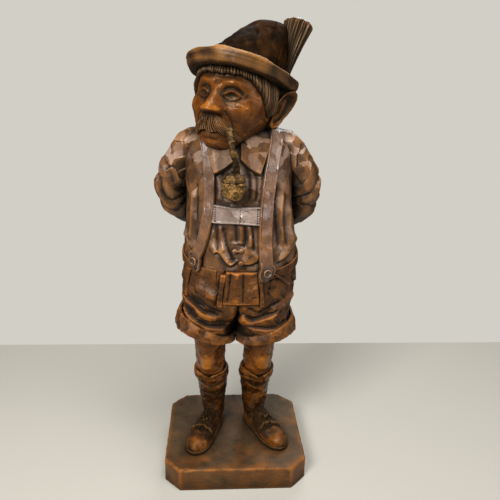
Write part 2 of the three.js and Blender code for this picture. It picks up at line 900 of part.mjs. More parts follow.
const waistbandMiddle = (angle) => {
  const lift = (1 + Math.sin(angle)) / 2;
  return waistHeight - waistbandFrontDrop + lift * (waistbandFrontDrop + waistbandBackRise);
};
const waistbandRing = bandLoft(
  trunk,
  (angle) => waistbandMiddle(angle) - waistbandHeight / 2,
  (angle) => waistbandMiddle(angle) + waistbandHeight / 2,
  seam,
  seam + waistbandThickness,
  { around: trunkAround, levels: 1 },
);
const flapGapHalf = flapBottomHalfWidth + flapWeltWidth + 2 * seam;
const flapGapTop = flapTop + 2 * waistbandHeight;
const flapGap = polygon(
  [flapMiddle - flapGapHalf, flapBottom],
  [flapMiddle - flapGapHalf, flapGapTop],
  [flapMiddle + flapGapHalf, flapGapTop],
  [flapMiddle + flapGapHalf, flapBottom],
);
const waistband = cut(solidOf(waistbandRing), solidOf(frontPrism(flapGap, ahead, 0)));
addPiece("waistband", waistband, breechesWax);

// Braces: ribbons cut from a skin of the trunk, over the shoulders from front to back

const braces = {
  right: [rightBraceFoot, waistHeight + rightBraceFootRise, rightBraceWaist, rightBraceTop, rightBraceWidth],
  left: [leftBraceFoot, waistHeight + leftBraceFootRise, leftBraceWaist, leftBraceTop, leftBraceWidth],
};
const braceTopHeight = neckHeight + 2 * (strapThickness + seam);

// The ribbon's middle line bends through its foot, its narrowest place and its top.
function braceLine(hand) {
  const [foot, footHeight, middle, top] = braces[hand];
  const bend = 2 * middle - (foot + top) / 2;
  const bendHeight = (footHeight + braceTopHeight) / 2;
  return new THREE.QuadraticBezierCurve(
    new THREE.Vector2(foot, footHeight),
    new THREE.Vector2(bend, bendHeight),
    new THREE.Vector2(top, braceTopHeight),
  );
}

function braceMiddleAt(hand, z) {
  const [, footHeight] = braces[hand];
  return braceLine(hand).getPoint((z - footHeight) / (braceTopHeight - footHeight)).x;
}

function braceOutline(hand, grow = 0) {
  const [foot, footHeight, , , width] = braces[hand];
  const half = width / 2 + grow;
  const tab = braceTabRadius + grow;
  const line = braceLine(hand).getPoints(4);
  const tabAngle = Math.acos(half / tab);
  const tabArc = steps(Math.PI + tabAngle, fullTurn - tabAngle, 6).map((angle) => [
    foot + tab * Math.cos(angle),
    footHeight + tab * Math.sin(angle),
  ]);
  const rising = line.slice(1).map((p) => [p.x + half, p.y]);
  const falling = line.slice(1).reverse().map((p) => [p.x - half, p.y]);
  return polygon(...tabArc, ...rising, ...falling);
}

const waistbandClear = solidOf(
  bandLoft(
    trunk,
    (angle) => waistbandMiddle(angle) - waistbandHeight / 2 - seam,
    (angle) => waistbandMiddle(angle) + waistbandHeight / 2 + seam,
    0,
    2 * seam + waistbandThickness,
    { around: trunkAround, levels: 1 },
  ),
);
const strapSkin = trunkSkin(seam, seam + strapThickness);
for (const [hand] of sides) {
  const ribbon = strapSkin.intersect(solidOf(frontPrism(braceOutline(hand), ahead, behind)));
  addPiece(`${hand}_brace`, cut(ribbon, neckSeat, waistbandClear), strapWax);
}

// Drop front with a welt along each side

const flapOutline = polygon(
  [flapMiddle - flapTopHalfWidth, flapTop],
  [flapMiddle - flapBottomHalfWidth, flapBottom],
  [flapMiddle + flapBottomHalfWidth, flapBottom],
  [flapMiddle + flapTopHalfWidth, flapTop],
);
const flapSkin = trunkSkin(seam, seam + flapThickness);
const flap = flapSkin.intersect(solidOf(frontPrism(flapOutline, ahead, 0)));
const bracesClear = sides.map(([hand]) => solidOf(frontPrism(braceOutline(hand, seam), ahead, behind)));
addPiece("drop_front", cut(flap, ...bracesClear), breechesWax);

function flapWeltOutline(side) {
  const top = flapMiddle + side * (flapTopHalfWidth + seam);
  const bottom = flapMiddle + side * (flapBottomHalfWidth + seam);
  return polygon(
    [top, flapTop - flapWeltDrop],
    [bottom, flapBottom - flapWeltDrop],
    [bottom + side * flapWeltWidth, flapBottom],
    [top + side * flapWeltWidth, flapTop - 2 * flapWeltDrop],
  );
}

const flapWeltSkin = trunkSkin(seam, seam + flapWeltThickness);

// Pocket welts run down and outwards over the hips, the right one steep and the left one slanted
const pockets = {
  right: [rightPocketNear, rightPocketFar, pocketTop - rightPocketHeight],
  left: [leftPocketNear, leftPocketFar, pocketTop - leftPocketHeight],
};

function pocketOutline(hand, side) {
  const [near, far, bottom] = pockets[hand];
  return polygon(
    [side * near, pocketTop],
    [side * far, bottom],
    [side * (far + pocketWeltWidth), bottom + pocketEndSlant],
    [side * (near + pocketWeltWidth), pocketTop + pocketEndSlant],
  );
}

const pocketSkin = trunkSkin(seam, seam + pocketWeltThickness);

for (const [hand, side] of sides) {
  const welt = flapWeltSkin.intersect(solidOf(frontPrism(flapWeltOutline(side), ahead, 0)));
  const pocket = pocketSkin.intersect(solidOf(frontPrism(pocketOutline(hand, side), ahead, 0)));
  addPiece(`${hand}_flap_welt`, cut(welt, ...bracesClear), breechesWax);
  addPiece(`${hand}_pocket_welt`, cut(pocket, waistbandClear, ...bracesClear), breechesWax);
}

// Chest strap between the two braces
const strapEnd = (hand, z, inward) => braceMiddleAt(hand, z) + inward * (braces[hand][4] / 2 + seam);
const strapLow = chestStrapHeight - chestStrapWidth / 2;
const strapHigh = chestStrapHeight + chestStrapWidth / 2;
const chestStrapOutline = polygon(
  [strapEnd("right", strapLow, 1), strapLow],
  [strapEnd("left", strapLow, -1), strapLow],
  [strapEnd("left", strapHigh, -1), strapHigh],
  [strapEnd("right", strapHigh, 1), strapHigh],
);
addPiece("chest_strap", strapSkin.intersect(solidOf(frontPrism(chestStrapOutline, ahead, 0))), strapWax);

// Small round pieces that sit on the front of the trunk, facing outwards
function onFront(geometry, x, z, lift) {
  const seat = trunk.front(x, z, lift);
  const beside = trunk.front(x + 1, z, lift);
  const above = trunk.front(x, z + 1, lift);
  const outward = above.sub(seat).cross(beside.sub(seat)).normalize();
  if (outward.y > 0) outward.negate();
  geometry.applyQuaternion(new THREE.Quaternion().setFromUnitVectors(vector(0, 1, 0), outward));
  geometry.translate(seat.x, seat.y, seat.z);
  return geometry;
}

// A turned knob: flat underneath, with a rounded rim and a slightly dished face.
function knobLathe(radius, thickness, around = 10) {
  const profile = [
    [0, 0],
    [radius * 0.86, 0],
    [radius, thickness * 0.4],
    [radius * 0.8, thickness],
    [radius * 0.35, thickness * 0.8],
    [0, thickness * 0.8],
  ].map(([r, h]) => new THREE.Vector2(r, h));
  return new THREE.LatheGeometry(profile, around);
}

for (const [hand] of sides) {
  const [foot, footHeight] = braces[hand];
  const button = knobLathe(buttonRadius, buttonThickness);
  addPiece(`${hand}_brace_button`, onFront(button, foot, footHeight, strapThickness + 2 * seam), strapWax);
}
const tie = knobLathe(tieRadius, tieRadius);
addPiece("shirt_tie", onFront(tie, tieMiddle, tieHeight, seam), shirtWax);
const stud = knobLathe(studRadius, studRadius, 8);
addPiece("waist_stud", onFront(stud, studMiddle, studHeight, seam), shirtWax);

// Collar points lie on the shirt on both sides of the open neck
function collarOutline(side) {
  const inner = collarMiddle + side * collarParting;
  return polygon(
    [inner, collarNotch],
    [collarMiddle + side * collarReach, collarNotch - collarPointDrop],
    [collarMiddle + side * collarSpread, collarTop],
    [inner, collarTop + collarRise],
  );
}

const collarSkin = trunkSkin(seam, seam + collarThickness);
for (const [hand, side] of sides) {
  const wing = collarSkin.intersect(solidOf(frontPrism(collarOutline(side), ahead, 0)));
  addPiece(`${hand}_collar`, cut(wing, neckSeat, ...bracesClear), shirtWax);
}

// Arms: sleeves from shoulder to wrist, with the hands laid together behind the waist

function sleevePath(side) {
  const shoulderAt = shoulderMiddle + side * shoulderJointSpread;
  const shoulder = vector(shoulderAt, shoulderJointBack, shoulderJointHeight);
  const elbow = vector(side * elbowSpread, elbowBack, elbowHeight);
  const wrist = vector(side * wristSpread, wristBack, wristHeight);
  const upperArm = shoulder.clone().lerp(elbow, 0.5).setY(upperArmBack);
  upperArm.x = THREE.MathUtils.lerp(shoulder.x, elbow.x, 0.65);
  const forearm = elbow.clone().lerp(wrist, 0.5);
  forearm.x = THREE.MathUtils.lerp(elbow.x, wrist.x, 0.28);
  forearm.z -= side === leftSide ? leftForearmSag : rightForearmSag;
  return [shoulder, upperArm, elbow, forearm, wrist];
}

function sleeveLoft(side, grow = 0) {
  const forearmRadius = sleeveElbowRadius * 0.94;
  const radii = [
    sleeveShoulderRadius,
    sleeveUpperRadius,
    sleeveElbowRadius,
    forearmRadius,
    sleeveWristRadius,
  ];
  const foldShare = sleeveFoldDepth / sleeveElbowRadius;
  const fold = (angle, share) => 1 + foldShare * Math.sin(share * sleeveFolds * fullTurn + angle);
  return limbLoft(sleevePath(side), radii, { around: 12, rings: 13, grow, shape: fold });
}

const shirtClear = solidOf(trunkLoft({ grow: seam }));
const strapClear = solidOf(trunkLoft({ grow: 2 * seam + strapThickness }));
for (const [hand, side] of sides) {
  const braceZone = strapClear.intersect(solidOf(frontPrism(braceOutline(hand, seam), ahead, behind)));
  const sleeve = cut(solidOf(sleeveLoft(side)), shirtClear, braceZone, waistbandClear, ...dowelBores);
  addPiece(`${hand}_sleeve`, sleeve, shirtWax);
  addPiece(`${hand}_arm_dowel`, armDowel(side), dowelWood);
}

// Head with nose, brow and chin in one piece; the features stand at even thirds of the face
const noseBase = headHeight * 0.28;
const eyeLevel = headHeight * 0.48;
const browLevel = headHeight * 0.55;
const mouthLevel = headHeight * 0.18;
const cheekLevel = headHeight * 0.31;

function ball(radius, x, y, z, sx = 1, sy = 1, sz = 1) {
  const sphere = new THREE.SphereGeometry(radius, 8, 6);
  sphere.scale(sx, sy, sz);
  sphere.translate(x, y, z);
  return sphere;
}

function noseBulb(grow = 0) {
  const y = -headFront - noseReach + noseRadius * 0.4;
  return ball(noseRadius + grow, 0, y, noseBase + noseRadius * 0.8, 1, 1.1, 0.9);
}

function noseBridge() {
  const top = vector(0, -headFront * 0.94, browLevel);
  const tip = vector(0, -headFront - noseReach * 0.5, noseBase + noseRadius);
  return limbLoft([top, tip], [noseRadius * 0.45, noseRadius * 0.75], { around: 8, rings: 3 });
}

function browRidge(side) {
  const reach = headHalfWidth * 0.62;
  const path = [
    vector(side * browThickness, -headFront * 0.97, browLevel),
    vector(side * reach * 0.55, -headFront * 0.93, browLevel + browThickness),
    vector(side * reach, -headFront * 0.72, browLevel),
  ];
  const radii = [browThickness * 0.85, browThickness, browThickness * 0.7];
  return limbLoft(path, radii, { around: 6, rings: 3 });
}

function cheek(side) {
  return ball(cheekRadius, side * headHalfWidth * 0.48, -headFront * 0.6, cheekLevel, 1, 0.9, 0.85);
}

function eyeSocket(side) {
  return ball(eyeSocketRadius, side * headHalfWidth * 0.4, -headFront * 1.02, eyeLevel, 1.15, 1, 0.62);
}

// The stem of the pipe leaves the corner of the mouth, hangs, and enters the back of the bowl
const bowlSeat = trunk.front(pipeMiddle, bowlHeight + bowlDepth, collarThickness + 2 * seam).y;
const bowlMiddle = vector(pipeMiddle, bowlSeat - bowlRadius, bowlHeight);

function stemLoft(grow = 0) {
  const fromHead = (x, y, z) => headFrame.localToWorld(vector(x, y, z));
  headFrame.updateWorldMatrix(true, false);
  const path = [
    fromHead(mouthCorner * 0.75, -headFront * 0.76, mouthLevel),
    fromHead(mouthCorner, -headFront, mouthLevel - stemRadius),
    vector(pipeMiddle, bowlMiddle.y - stemForward, chinHeight),
    vector(pipeMiddle + stemRadius, bowlMiddle.y, bowlHeight + bowlDepth + lidDepth + stemRadius),
    vector(pipeMiddle + stemRadius / 2, bowlMiddle.y + stemSetBack, bowlHeight + bowlDepth - stemSocket),
  ];
  const knuckle = (angle, share) =>
    1 + (stemKnuckleSwell / stemRadius) * Math.max(0, Math.cos(share * stemKnuckles * fullTurn));
  return limbLoft(path, [stemRadius, stemRadius, stemRadius], { around: 6, rings: 16, grow, shape: knuckle });
}

function lathe(profile, around) {
  const points = profile.map(([r, h]) => new THREE.Vector2(r, h));
  const turned = new THREE.LatheGeometry(points, around);
  turned.rotateX(Math.PI / 2);
  return turned;
}

function bowlLathe() {
  const bowl = lathe(
    [
      [0, 0],
      [bowlRadius * 0.55, bowlDepth * 0.06],
      [bowlRadius * 0.88, bowlDepth * 0.3],
      [bowlRadius, bowlDepth * 0.62],
      [bowlRadius * 0.94, bowlDepth * 0.86],
      [bowlRadius * 1.02, bowlDepth * 0.9],
      [bowlRadius * 1.02, bowlDepth],
      [0, bowlDepth],
    ],
    14,
  );
  return bowl.translate(bowlMiddle.x, bowlMiddle.y, bowlMiddle.z);
}

function lidLathe() {
  const lid = lathe(
    [
      [0, 0],
      [bowlRadius * 0.98, 0],
      [bowlRadius * 0.98, lidDepth * 0.18],
      [bowlRadius * 0.84, lidDepth * 0.42],
      [bowlRadius * 0.5, lidDepth * 0.7],
      [bowlRadius * 0.2, lidDepth * 0.8],
      [bowlRadius * 0.24, lidDepth * 0.95],
      [0, lidDepth],
    ],
    14,
  );
  return lid.translate(bowlMiddle.x, bowlMiddle.y, bowlMiddle.z + bowlDepth + seam);
}

const stemClear = solidOf(stemLoft(seam));
addPiece("pipe_stem", stemLoft(), pipeWax);
addPiece("pipe_bowl", cut(solidOf(bowlLathe()), stemClear), pipeWax);
addPiece("pipe_lid", cut(solidOf(lidLathe()), stemClear), hatWax);

// Hat frame, and the dowel that pins the hat to the head
const hatFrame = new THREE.Group();
hatFrame.position.set(0, hatBack, hatSeat);
hatFrame.rotation.x = hatTilt;
headFrame.add(hatFrame);

function hatDowel(clearance = 0) {
  const half = hatDowelLength / 2 + clearance;
  const foot = vector(0, hatDowelBack, headHeight - half);
  return barBetween(foot, foot.clone().setZ(headHeight + half), dowelRadius + clearance);
}

const inHead = (geometry) => solidOf(carried(geometry, figure, headFrame));
const pairs = sides.flatMap(([, side]) => [browRidge(side), cheek(side)]);
const faceParts = [noseBulb(), noseBridge(), ...pairs];
const face = faceParts.reduce((whole, part) => whole.add(solidOf(part)), solidOf(skullLoft()));
const eyeSockets = sides.map(([, side]) => solidOf(eyeSocket(side)));
const stemInHead = inHead(stemLoft(seam));
const headBores = [inHead(neckDowel(rodClearance)), solidOf(hatDowel(rodClearance))];
const head = cut(face, ...eyeSockets, stemInHead, ...headBores);
addPiece("head", head, skinWax, headFrame);
addPiece("hat_dowel", hatDowel(), dowelWood, headFrame);

// Ears: cupped shells that stand away from the head
function earLoft(side) {
  const outward = vector(side * Math.cos(earLean), -Math.sin(earLean), 0.12).normalize();
  const backward = vector(side * Math.sin(earLean), Math.cos(earLean), 0);
  const root = vector(side * headHalfWidth * 0.86, earBack, headHeight * 0.42);
  const half = earHeight / 2;
  const ring = (scale, share) =>
    turns(14).map((angle) => {
      const up = half * scale * Math.sin(angle);
      const across = half * 0.6 * scale * Math.cos(angle) * (1 + 0.28 * Math.sin(angle));
      const out = earReach * share * (1 + (earTipOut * up) / half);
      return root
        .clone()
        .addScaledVector(outward, out)
        .addScaledVector(backward, across + out * 0.3 + earSweep * up)
        .add(vector(0, 0, up));
    });
  const outside = [ring(0.5, 0), ring(0.82, 0.55), ring(1, 0.9)];
  const cupped = [ring(0.9, 1), ring(0.72, 0.9), ring(0.45, 0.72)];
  return loft([...outside, ...cupped]);
}

const skullClear = solidOf(skullLoft(seam));
const strapInHead = inHead(trunkLoft({ grow: 2 * seam + strapThickness }));

// Moustache: a combed fan that hangs over the mouth, cut from a skin of the face
const moustacheHalf = [
  [0, noseBase + moustacheThickness * 0.2],
  [moustacheRootHalfWidth, noseBase],
  [moustacheHalfWidth * 0.75, noseBase - moustacheWingDrop * 0.4],
  [moustacheHalfWidth, noseBase - moustacheWingDrop],
  [moustacheHalfWidth * 0.6, noseBase - moustacheWingDrop * 0.78],
  [0, noseBase - moustacheDrop],
];
const moustacheMirrored = moustacheHalf.slice(1, -1).reverse().map(([x, z]) => [-x, z]);
const moustacheOutline = polygon(...moustacheHalf, ...moustacheMirrored);
const moustacheSkin = solidOf(skullLoft(seam + moustacheThickness)).subtract(skullClear);
const moustachePrism = solidOf(frontPrism(moustacheOutline, -2 * headFront, 0));
const cheeksClear = sides.map(([, side]) => solidOf(cheek(side)));
const faceClear = [solidOf(noseBulb(seam)), ...cheeksClear];
const moustache = moustacheSkin.intersect(moustachePrism);
addPiece("moustache", cut(moustache, ...faceClear, stemInHead, strapInHead), hairWax, headFrame);

// Hair: a band under the hat, short over the brow, long at the temples and nape
const hairLow = (angle) => {
  const toBack = (1 + Math.sin(angle)) / 2;
  const fringe = 1 - THREE.MathUtils.smoothstep(toBack, 0.12, 0.4);
  const behindEar = THREE.MathUtils.smoothstep(toBack, 0.6, 0.85);
  const sideHair = THREE.MathUtils.lerp(templeHeight, napeHeight, behindEar);
  return THREE.MathUtils.lerp(sideHair, fringeHeight, fringe);
};
// Everything above the underside of the tilted brim, where the hair and the ears end
function aboveBrim() {
  const reach = 4 * brimHalfLength;
  const box = new THREE.BoxGeometry(reach, reach, reach);
  box.translate(0, 0, reach / 2 - brimThickness / 2 - seam);
  return solidOf(carried(box, hatFrame, headFrame));
}

const hairHigh = headHeight * 0.84;
const hairBand = (spread) =>
  bandLoft(skull, (a) => hairLow(a) - spread, () => hairHigh, 0, hairThickness + seam + spread, {
    around: skullAround,
    levels: 3,
  });
const hatClear = aboveBrim();
const hair = cut(solidOf(hairBand(0)), skullClear, strapInHead, hatClear);
const hairClear = solidOf(hairBand(seam));
addPiece("hair", hair, hairWax, headFrame);
for (const [hand, side] of sides) {
  const ear = cut(solidOf(earLoft(side)), skullClear, hairClear, strapInHead, hatClear);
  addPiece(`${hand}_ear`, ear, skinWax, headFrame);
}

// Hat brim: a flat ring whose edge is turned up, cut out for the head and its hair
const inHat = (geometry) => solidOf(carried(geometry, headFrame, hatFrame));
const hatHollow = inHat(skullLoft(seam));

function brimLoft() {
  const half = brimThickness / 2;
  const inside = Math.max(brimHalfWidth - crownHalfWidth, brimHalfLength - crownHalfLength) + brimUnderCrown;
  const profile = [
    [inside, -half],
    [brimTurn * 0.5, -half],
    [brimTurn * 0.12, -half * 0.4],
    [0, brimRise * 0.35],
    [brimTurn * 0.08, brimRise * 0.8],
    [brimTurn * 0.3, brimRise],
    [brimTurn * 0.58, brimRise * 0.85],
    [brimTurn * 0.7, brimRise * 0.5],
    [brimTurn, half],
    [inside, half],
  ];
  const section = (angle) =>
    profile.map(([inset, z]) =>
      vector((brimHalfWidth - inset) * Math.cos(angle), (brimHalfLength - inset) * Math.sin(angle), z),
    );
  return loft(turns(24).map(section), true);
}

addPiece("hat_brim", cut(solidOf(brimLoft()), hatHollow), hatWax, hatFrame);

// Hat crown: leans back and a little to the left, with a sloping front pinched on both sides
const crownBase = brimThickness / 2 + seam;
const crownSection = (rise, lean, width, front, back) => [
  crownBase + crownHeight * rise,
  crownSideLean * lean,
  crownLean * lean,
  crownHalfWidth * width,
  crownHalfLength * front,
  crownHalfLength * back,
];
const crown = makeForm([
  crownSection(0, 0, 1, 1, 1),
  crownSection(0.28, 0.18, 0.955, 0.9, 0.95),
  crownSection(0.51, 0.45, 0.835, 0.695, 0.88),
  crownSection(0.76, 0.75, 0.67, 0.44, 0.68),
  crownSection(0.93, 0.95, 0.45, 0.256, 0.45),
  crownSection(1, 1, 0.15, 0.09, 0.17),
]);

function crownLoft(grow = 0) {
  const front = -Math.PI / 2;
  const pinchAngles = [front - crownPinchAngle, front + crownPinchAngle];
  const nearness = (angle, at) => Math.exp(-((2 * Math.sin((angle - at) / 2)) ** 2) / crownPinchSpread ** 2);
  const rows = steps(crown.low, crown.high, 6).map((z) =>
    turns(20).map((angle) => {
      const share = (z - crown.low) / (crown.high - crown.low);
      const near = nearness(angle, pinchAngles[0]) + nearness(angle, pinchAngles[1]);
      const pinch = crownPinch * Math.sin(Math.PI * share) * near;
      return crown.point(angle, z, grow - pinch);
    }),
  );
  return loft(rows);
}

const hatPin = inHat(hatDowel(rodClearance));
addPiece("hat_crown", cut(solidOf(crownLoft()), hatHollow, hatPin), hatWax, hatFrame);

// Hat brush: a plume of hair in a round knot between crown and brim
const knotFoot = vector(
  (crownHalfWidth + knotRadius + 2 * seam) * Math.cos(brushAngle),
  (crownHalfLength + knotRadius + 2 * seam) * Math.sin(brushAngle),
  crownBase,
);

// The brush stands on the knot and is held by a peg in it.
function brushPeg(clearance = 0) {
  const foot = knotFoot.clone().setZ(crownBase + knotHeight * 0.4 - clearance);
  const top = foot.clone().setZ(crownBase + knotHeight + brushFootRadius);
  return barBetween(foot, top, brushPegRadius + clearance);
}

function brushLoft() {
  const away = vector(Math.cos(brushAngle), Math.sin(brushAngle), 0);
  const foot = knotFoot.clone().setZ(crownBase + knotHeight + seam + brushFootRadius * limbEndSlide);
  const middle = foot.clone().addScaledVector(away, brushLean * 0.3).add(vector(0, 0, brushHeight * 0.5));
  const top = foot.clone().addScaledVector(away, brushLean).add(vector(0, 0, brushHeight));
  const flute = (angle, share) =>
    1 - (brushGrooveDepth / brushTopRadius) * share * (1 + Math.cos(angle * brushGrooves));
  const radii = [brushFootRadius, brushFootRadius * 1.5, brushTopRadius * 0.8, brushTopRadius];
  return limbLoft([foot, middle, top], radii, { around: brushGrooves * 2, rings: 3, shape: flute });
}

function knotLathe() {
  const knot = lathe(
    [
      [0, 0],
      [knotRadius * 0.7, 0],
      [knotRadius, knotHeight * 0.35],
      [knotRadius * 0.9, knotHeight * 0.7],
      [knotRadius * 0.8, knotHeight],
      [0, knotHeight],
    ],
    10,
  );
  return knot.translate(knotFoot.x, knotFoot.y, knotFoot.z);
}

const crownClear = solidOf(crownLoft(seam));
const brush = cut(solidOf(brushLoft()).add(solidOf(brushPeg())), crownClear);
addPiece("hat_brush", brush, hairWax, hatFrame);
const knot = cut(solidOf(knotLathe()), crownClear, solidOf(brushPeg(rodClearance)));
addPiece("brush_knot", knot, hatWax, hatFrame);

// Hands laid together behind the waist, the left one inside
function handSolid(side, back) {
  const reach = wristSpread - palmLength;
  const wrist = vector(side * wristSpread, wristBack, wristHeight);
  const knuckles = vector(side * reach, back, wristHeight - handDroop);
  const path = [wrist, wrist.clone().lerp(knuckles, 0.5).setY((wristBack + back) / 2), knuckles];
  const radii = [palmHalfHeight * 0.8, palmHalfHeight, palmHalfHeight];
  const flat = palmHalfThickness / palmHalfHeight;
  let hand = solidOf(limbLoft(path, radii, { around: 8, rings: 3, squash: flat }));
  for (const z of steps(-1.5 * fingerPitch, 1.5 * fingerPitch, 3)) {
    const from = knuckles.clone().add(vector(side * fingerRadius, 0, z));
    const to = knuckles.clone().add(vector(-side * fingerLength, 0, z - handDroop / 2));
    const finger = limbLoft([from, to], [fingerRadius, fingerRadius * 0.85], { around: 5, rings: 1 });
    hand = hand.add(solidOf(finger));
  }
  return hand;
}

const sleeveClear = sides.map(([, side]) => solidOf(sleeveLoft(side, seam)));
const backOfShirt = trunk.at(wristHeight)[4];
const innerBack = backOfShirt + palmHalfThickness + 2 * seam;
const outerBack = innerBack + 2 * palmHalfThickness + seam;
const leftHand = handSolid(leftSide, innerBack);
const rightHand = cut(handSolid(rightSide, outerBack), leftHand);
addPiece("left_hand", cut(leftHand, ...sleeveClear, shirtClear), skinWax);
addPiece("right_hand", cut(rightHand, ...sleeveClear, shirtClear), skinWax);

export default figure;
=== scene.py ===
import bpy
import numpy as np
from mathutils import Matrix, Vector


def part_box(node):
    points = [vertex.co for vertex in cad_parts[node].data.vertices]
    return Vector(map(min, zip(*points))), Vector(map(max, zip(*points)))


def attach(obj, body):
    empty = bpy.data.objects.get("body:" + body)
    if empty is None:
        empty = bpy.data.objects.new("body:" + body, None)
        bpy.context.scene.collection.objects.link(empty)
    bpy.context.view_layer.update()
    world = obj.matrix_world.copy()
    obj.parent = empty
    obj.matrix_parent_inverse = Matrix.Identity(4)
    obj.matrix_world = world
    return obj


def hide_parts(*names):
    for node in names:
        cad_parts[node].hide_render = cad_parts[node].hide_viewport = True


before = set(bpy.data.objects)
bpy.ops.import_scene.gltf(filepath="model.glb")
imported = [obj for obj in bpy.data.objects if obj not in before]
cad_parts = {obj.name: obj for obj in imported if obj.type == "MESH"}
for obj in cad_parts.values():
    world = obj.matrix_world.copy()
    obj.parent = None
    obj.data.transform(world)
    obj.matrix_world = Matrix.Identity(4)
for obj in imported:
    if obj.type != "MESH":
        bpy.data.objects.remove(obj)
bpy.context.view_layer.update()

mm = 0.001  # every size below is in millimetres; the meshes are in metres
print("frame loaded:", len(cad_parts), "nodes")


# curves, forms and placing

def spline(knots, values, at):
    # cubic through the knots; the slope at a knot is that of the line between its two neighbours
    knots, values, at = (np.asarray(v, float) for v in (knots, values, at))
    table = values.reshape(len(knots), -1)
    step = np.diff(knots)[:, None]
    slope = np.empty_like(table)
    slope[[0, -1]] = (np.diff(table, axis=0) / step)[[0, -1]]
    if len(knots) > 2:
        slope[1:-1] = (table[2:] - table[:-2]) / (knots[2:] - knots[:-2])[:, None]
    low = np.clip(np.searchsorted(knots, at.ravel(), "right") - 1, 0, len(knots) - 2)
    t = np.clip((at.ravel() - knots[low])[:, None] / step[low], 0, 1)
    ends = (1 + 2 * t) * (1 - t) ** 2 * table[low] + t * t * (3 - 2 * t) * table[low + 1]
    lean = t * (1 - t) ** 2 * slope[low] - t * t * (1 - t) * slope[low + 1]
    return (ends + step[low] * lean).reshape(at.shape + values.shape[1:])


def ease(low, high, v):
    # 0 below low, 1 above high, an S between them
    t = np.clip((v - low) / (high - low), 0, 1)
    return t * t * (3 - 2 * t)


def bend(v, power):
    # a power that keeps the sign
    return np.sign(v) * np.abs(v) ** power


def hump(v, middle, reach):
    # a bell of height 1
    return np.exp(-((v - middle) / reach) ** 2)


def roundTurn(count):
    # the angles of a full turn, its end left out
    return np.linspace(0, 2 * np.pi, count, endpoint=False)


def signed(angle):
    # the same angle, counted from half a turn back to half a turn on
    return (angle + np.pi) % (2 * np.pi) - np.pi


def unit(v):
    # vectors brought to length 1
    return v / np.maximum(np.linalg.norm(v, axis=-1, keepdims=True), 1e-9)


def turned(axis, degrees):
    # turning matrix about one of the three axes
    a, b = [(1, 2), (2, 0), (0, 1)][axis]
    c, s = np.cos(np.radians(degrees)), np.sin(np.radians(degrees))
    m = np.eye(3)
    m[a, a], m[a, b], m[b, a], m[b, b] = c, -s, s, c
    return m


def readRows(rows, at):
    # smooth values from rows of (place, value, value ...): one array for each value
    rows = np.asarray(rows, float)
    return np.moveaxis(spline(rows[:, 0], rows[:, 1:], at), -1, 0)


def onForm(form, angle, z, grow=0.0):
    # a form's skin: superellipse section at height z; the angle starts in front (-Y) and goes towards +X
    midX, midY, half, front, back = readRows(form["rows"], z)
    s, c, power = np.sin(angle), np.cos(angle), 2 / form["full"]
    depth = np.where(c > 0, front, back) + grow
    return np.stack([midX + (half + grow) * bend(s, power), midY - depth * bend(c, power), z + 0 * angle], -1)


def offForm(form, angle, z, start, out):
    # the form's skin grown by start, then moved out square to it
    base = onForm(form, angle, z, start)
    return base + unit(onForm(form, angle, z, 1.0) - base) * out[..., None]


def frontOf(form, x, z):
    # depth of a form's front skin at a place seen from the front: its superellipse solved for y
    midX, midY, half, front, back = readRows(form["rows"], z)
    share = np.clip(np.abs(x - midX) / half, 0, form["brink"])
    return midY - front * (1 - share ** form["full"]) ** (1 / form["full"])


def formGrid(form, low, high, rows, cols):
    # the form's skin between two heights: angle round, height up
    angle, z = np.meshgrid(roundTurn(cols), np.linspace(low, high, rows))
    return onForm(form, angle, z), angle, z


def roundGrid(around, section):
    # angles round a band along the rows, angles round its section along the columns
    return np.meshgrid(roundTurn(around), roundTurn(section), indexing="ij")


def steps(count):
    # even shares from 0 to 1, as a column
    return np.linspace(0, 1, count)[:, None]


def alongAround(rows, cols):
    # shares of the way along as a column, angles round as a row
    return steps(rows), roundTurn(cols)[None]


def oval(radius, angle, wide=1.0, deep=1.0):
    # a round section, stretched sideways and along the reference
    return np.stack([radius * np.cos(angle) * wide, radius * np.sin(angle) * deep], -1)


def sweep(path, ref, outline):
    # a profile carried along a path: its first number goes sideways, its second along the reference
    way = unit(np.gradient(path, axis=0))
    side = unit(np.cross(way, ref))
    up = np.cross(side, way)
    return path[:, None] + side[:, None] * outline[..., :1] + up[:, None] * outline[..., 1:]


def alongPath(points, count):
    # smooth line through a few points, at an even pace
    points = np.asarray(points, float)
    fine = spline(np.arange(len(points)), points, np.linspace(0, len(points) - 1, 400))
    run = np.r_[0, np.cumsum(np.linalg.norm(np.diff(fine, axis=0), axis=1))]
    at = np.linspace(0, run[-1], count)
    return np.stack([np.interp(at, run, fine[:, k]) for k in range(fine.shape[1])], -1)


def raised(flat, z):
    # flat outlines, one to a row, set at their heights
    return np.concatenate([flat, np.broadcast_to(np.reshape(z, (-1, 1, 1)), flat.shape[:2] + (1,))], -1)


def lathe(points, count, cols):
    # a smooth profile through points of (radius, height), turned round the upright axis
    profile, a = alongPath(points, count), roundTurn(cols)
    return np.stack([profile[:, :1] * np.sin(a), -profile[:, :1] * np.cos(a), profile[:, 1:] + 0 * a], -1)


# surface work

def skinNormals(grid, ring):
    # across each grid point: the way round crossed with the way along
    along = np.roll(grid, -1, 0) - np.roll(grid, 1, 0) if ring else np.gradient(grid, axis=0)
    return unit(np.cross(np.roll(grid, -1, 1) - np.roll(grid, 1, 1), along))


def faceOut(grid, ring=False):
    # turns the columns round if the skin would face inwards
    away = (grid - grid.mean((0, 1))) * skinNormals(grid, ring)
    return grid[:, ::-1] if away.sum() < 0 else grid


def lift(grid, height, ring=False):
    # moves every point along its own normal
    return grid + skinNormals(grid, ring) * np.asarray(height)[..., None]


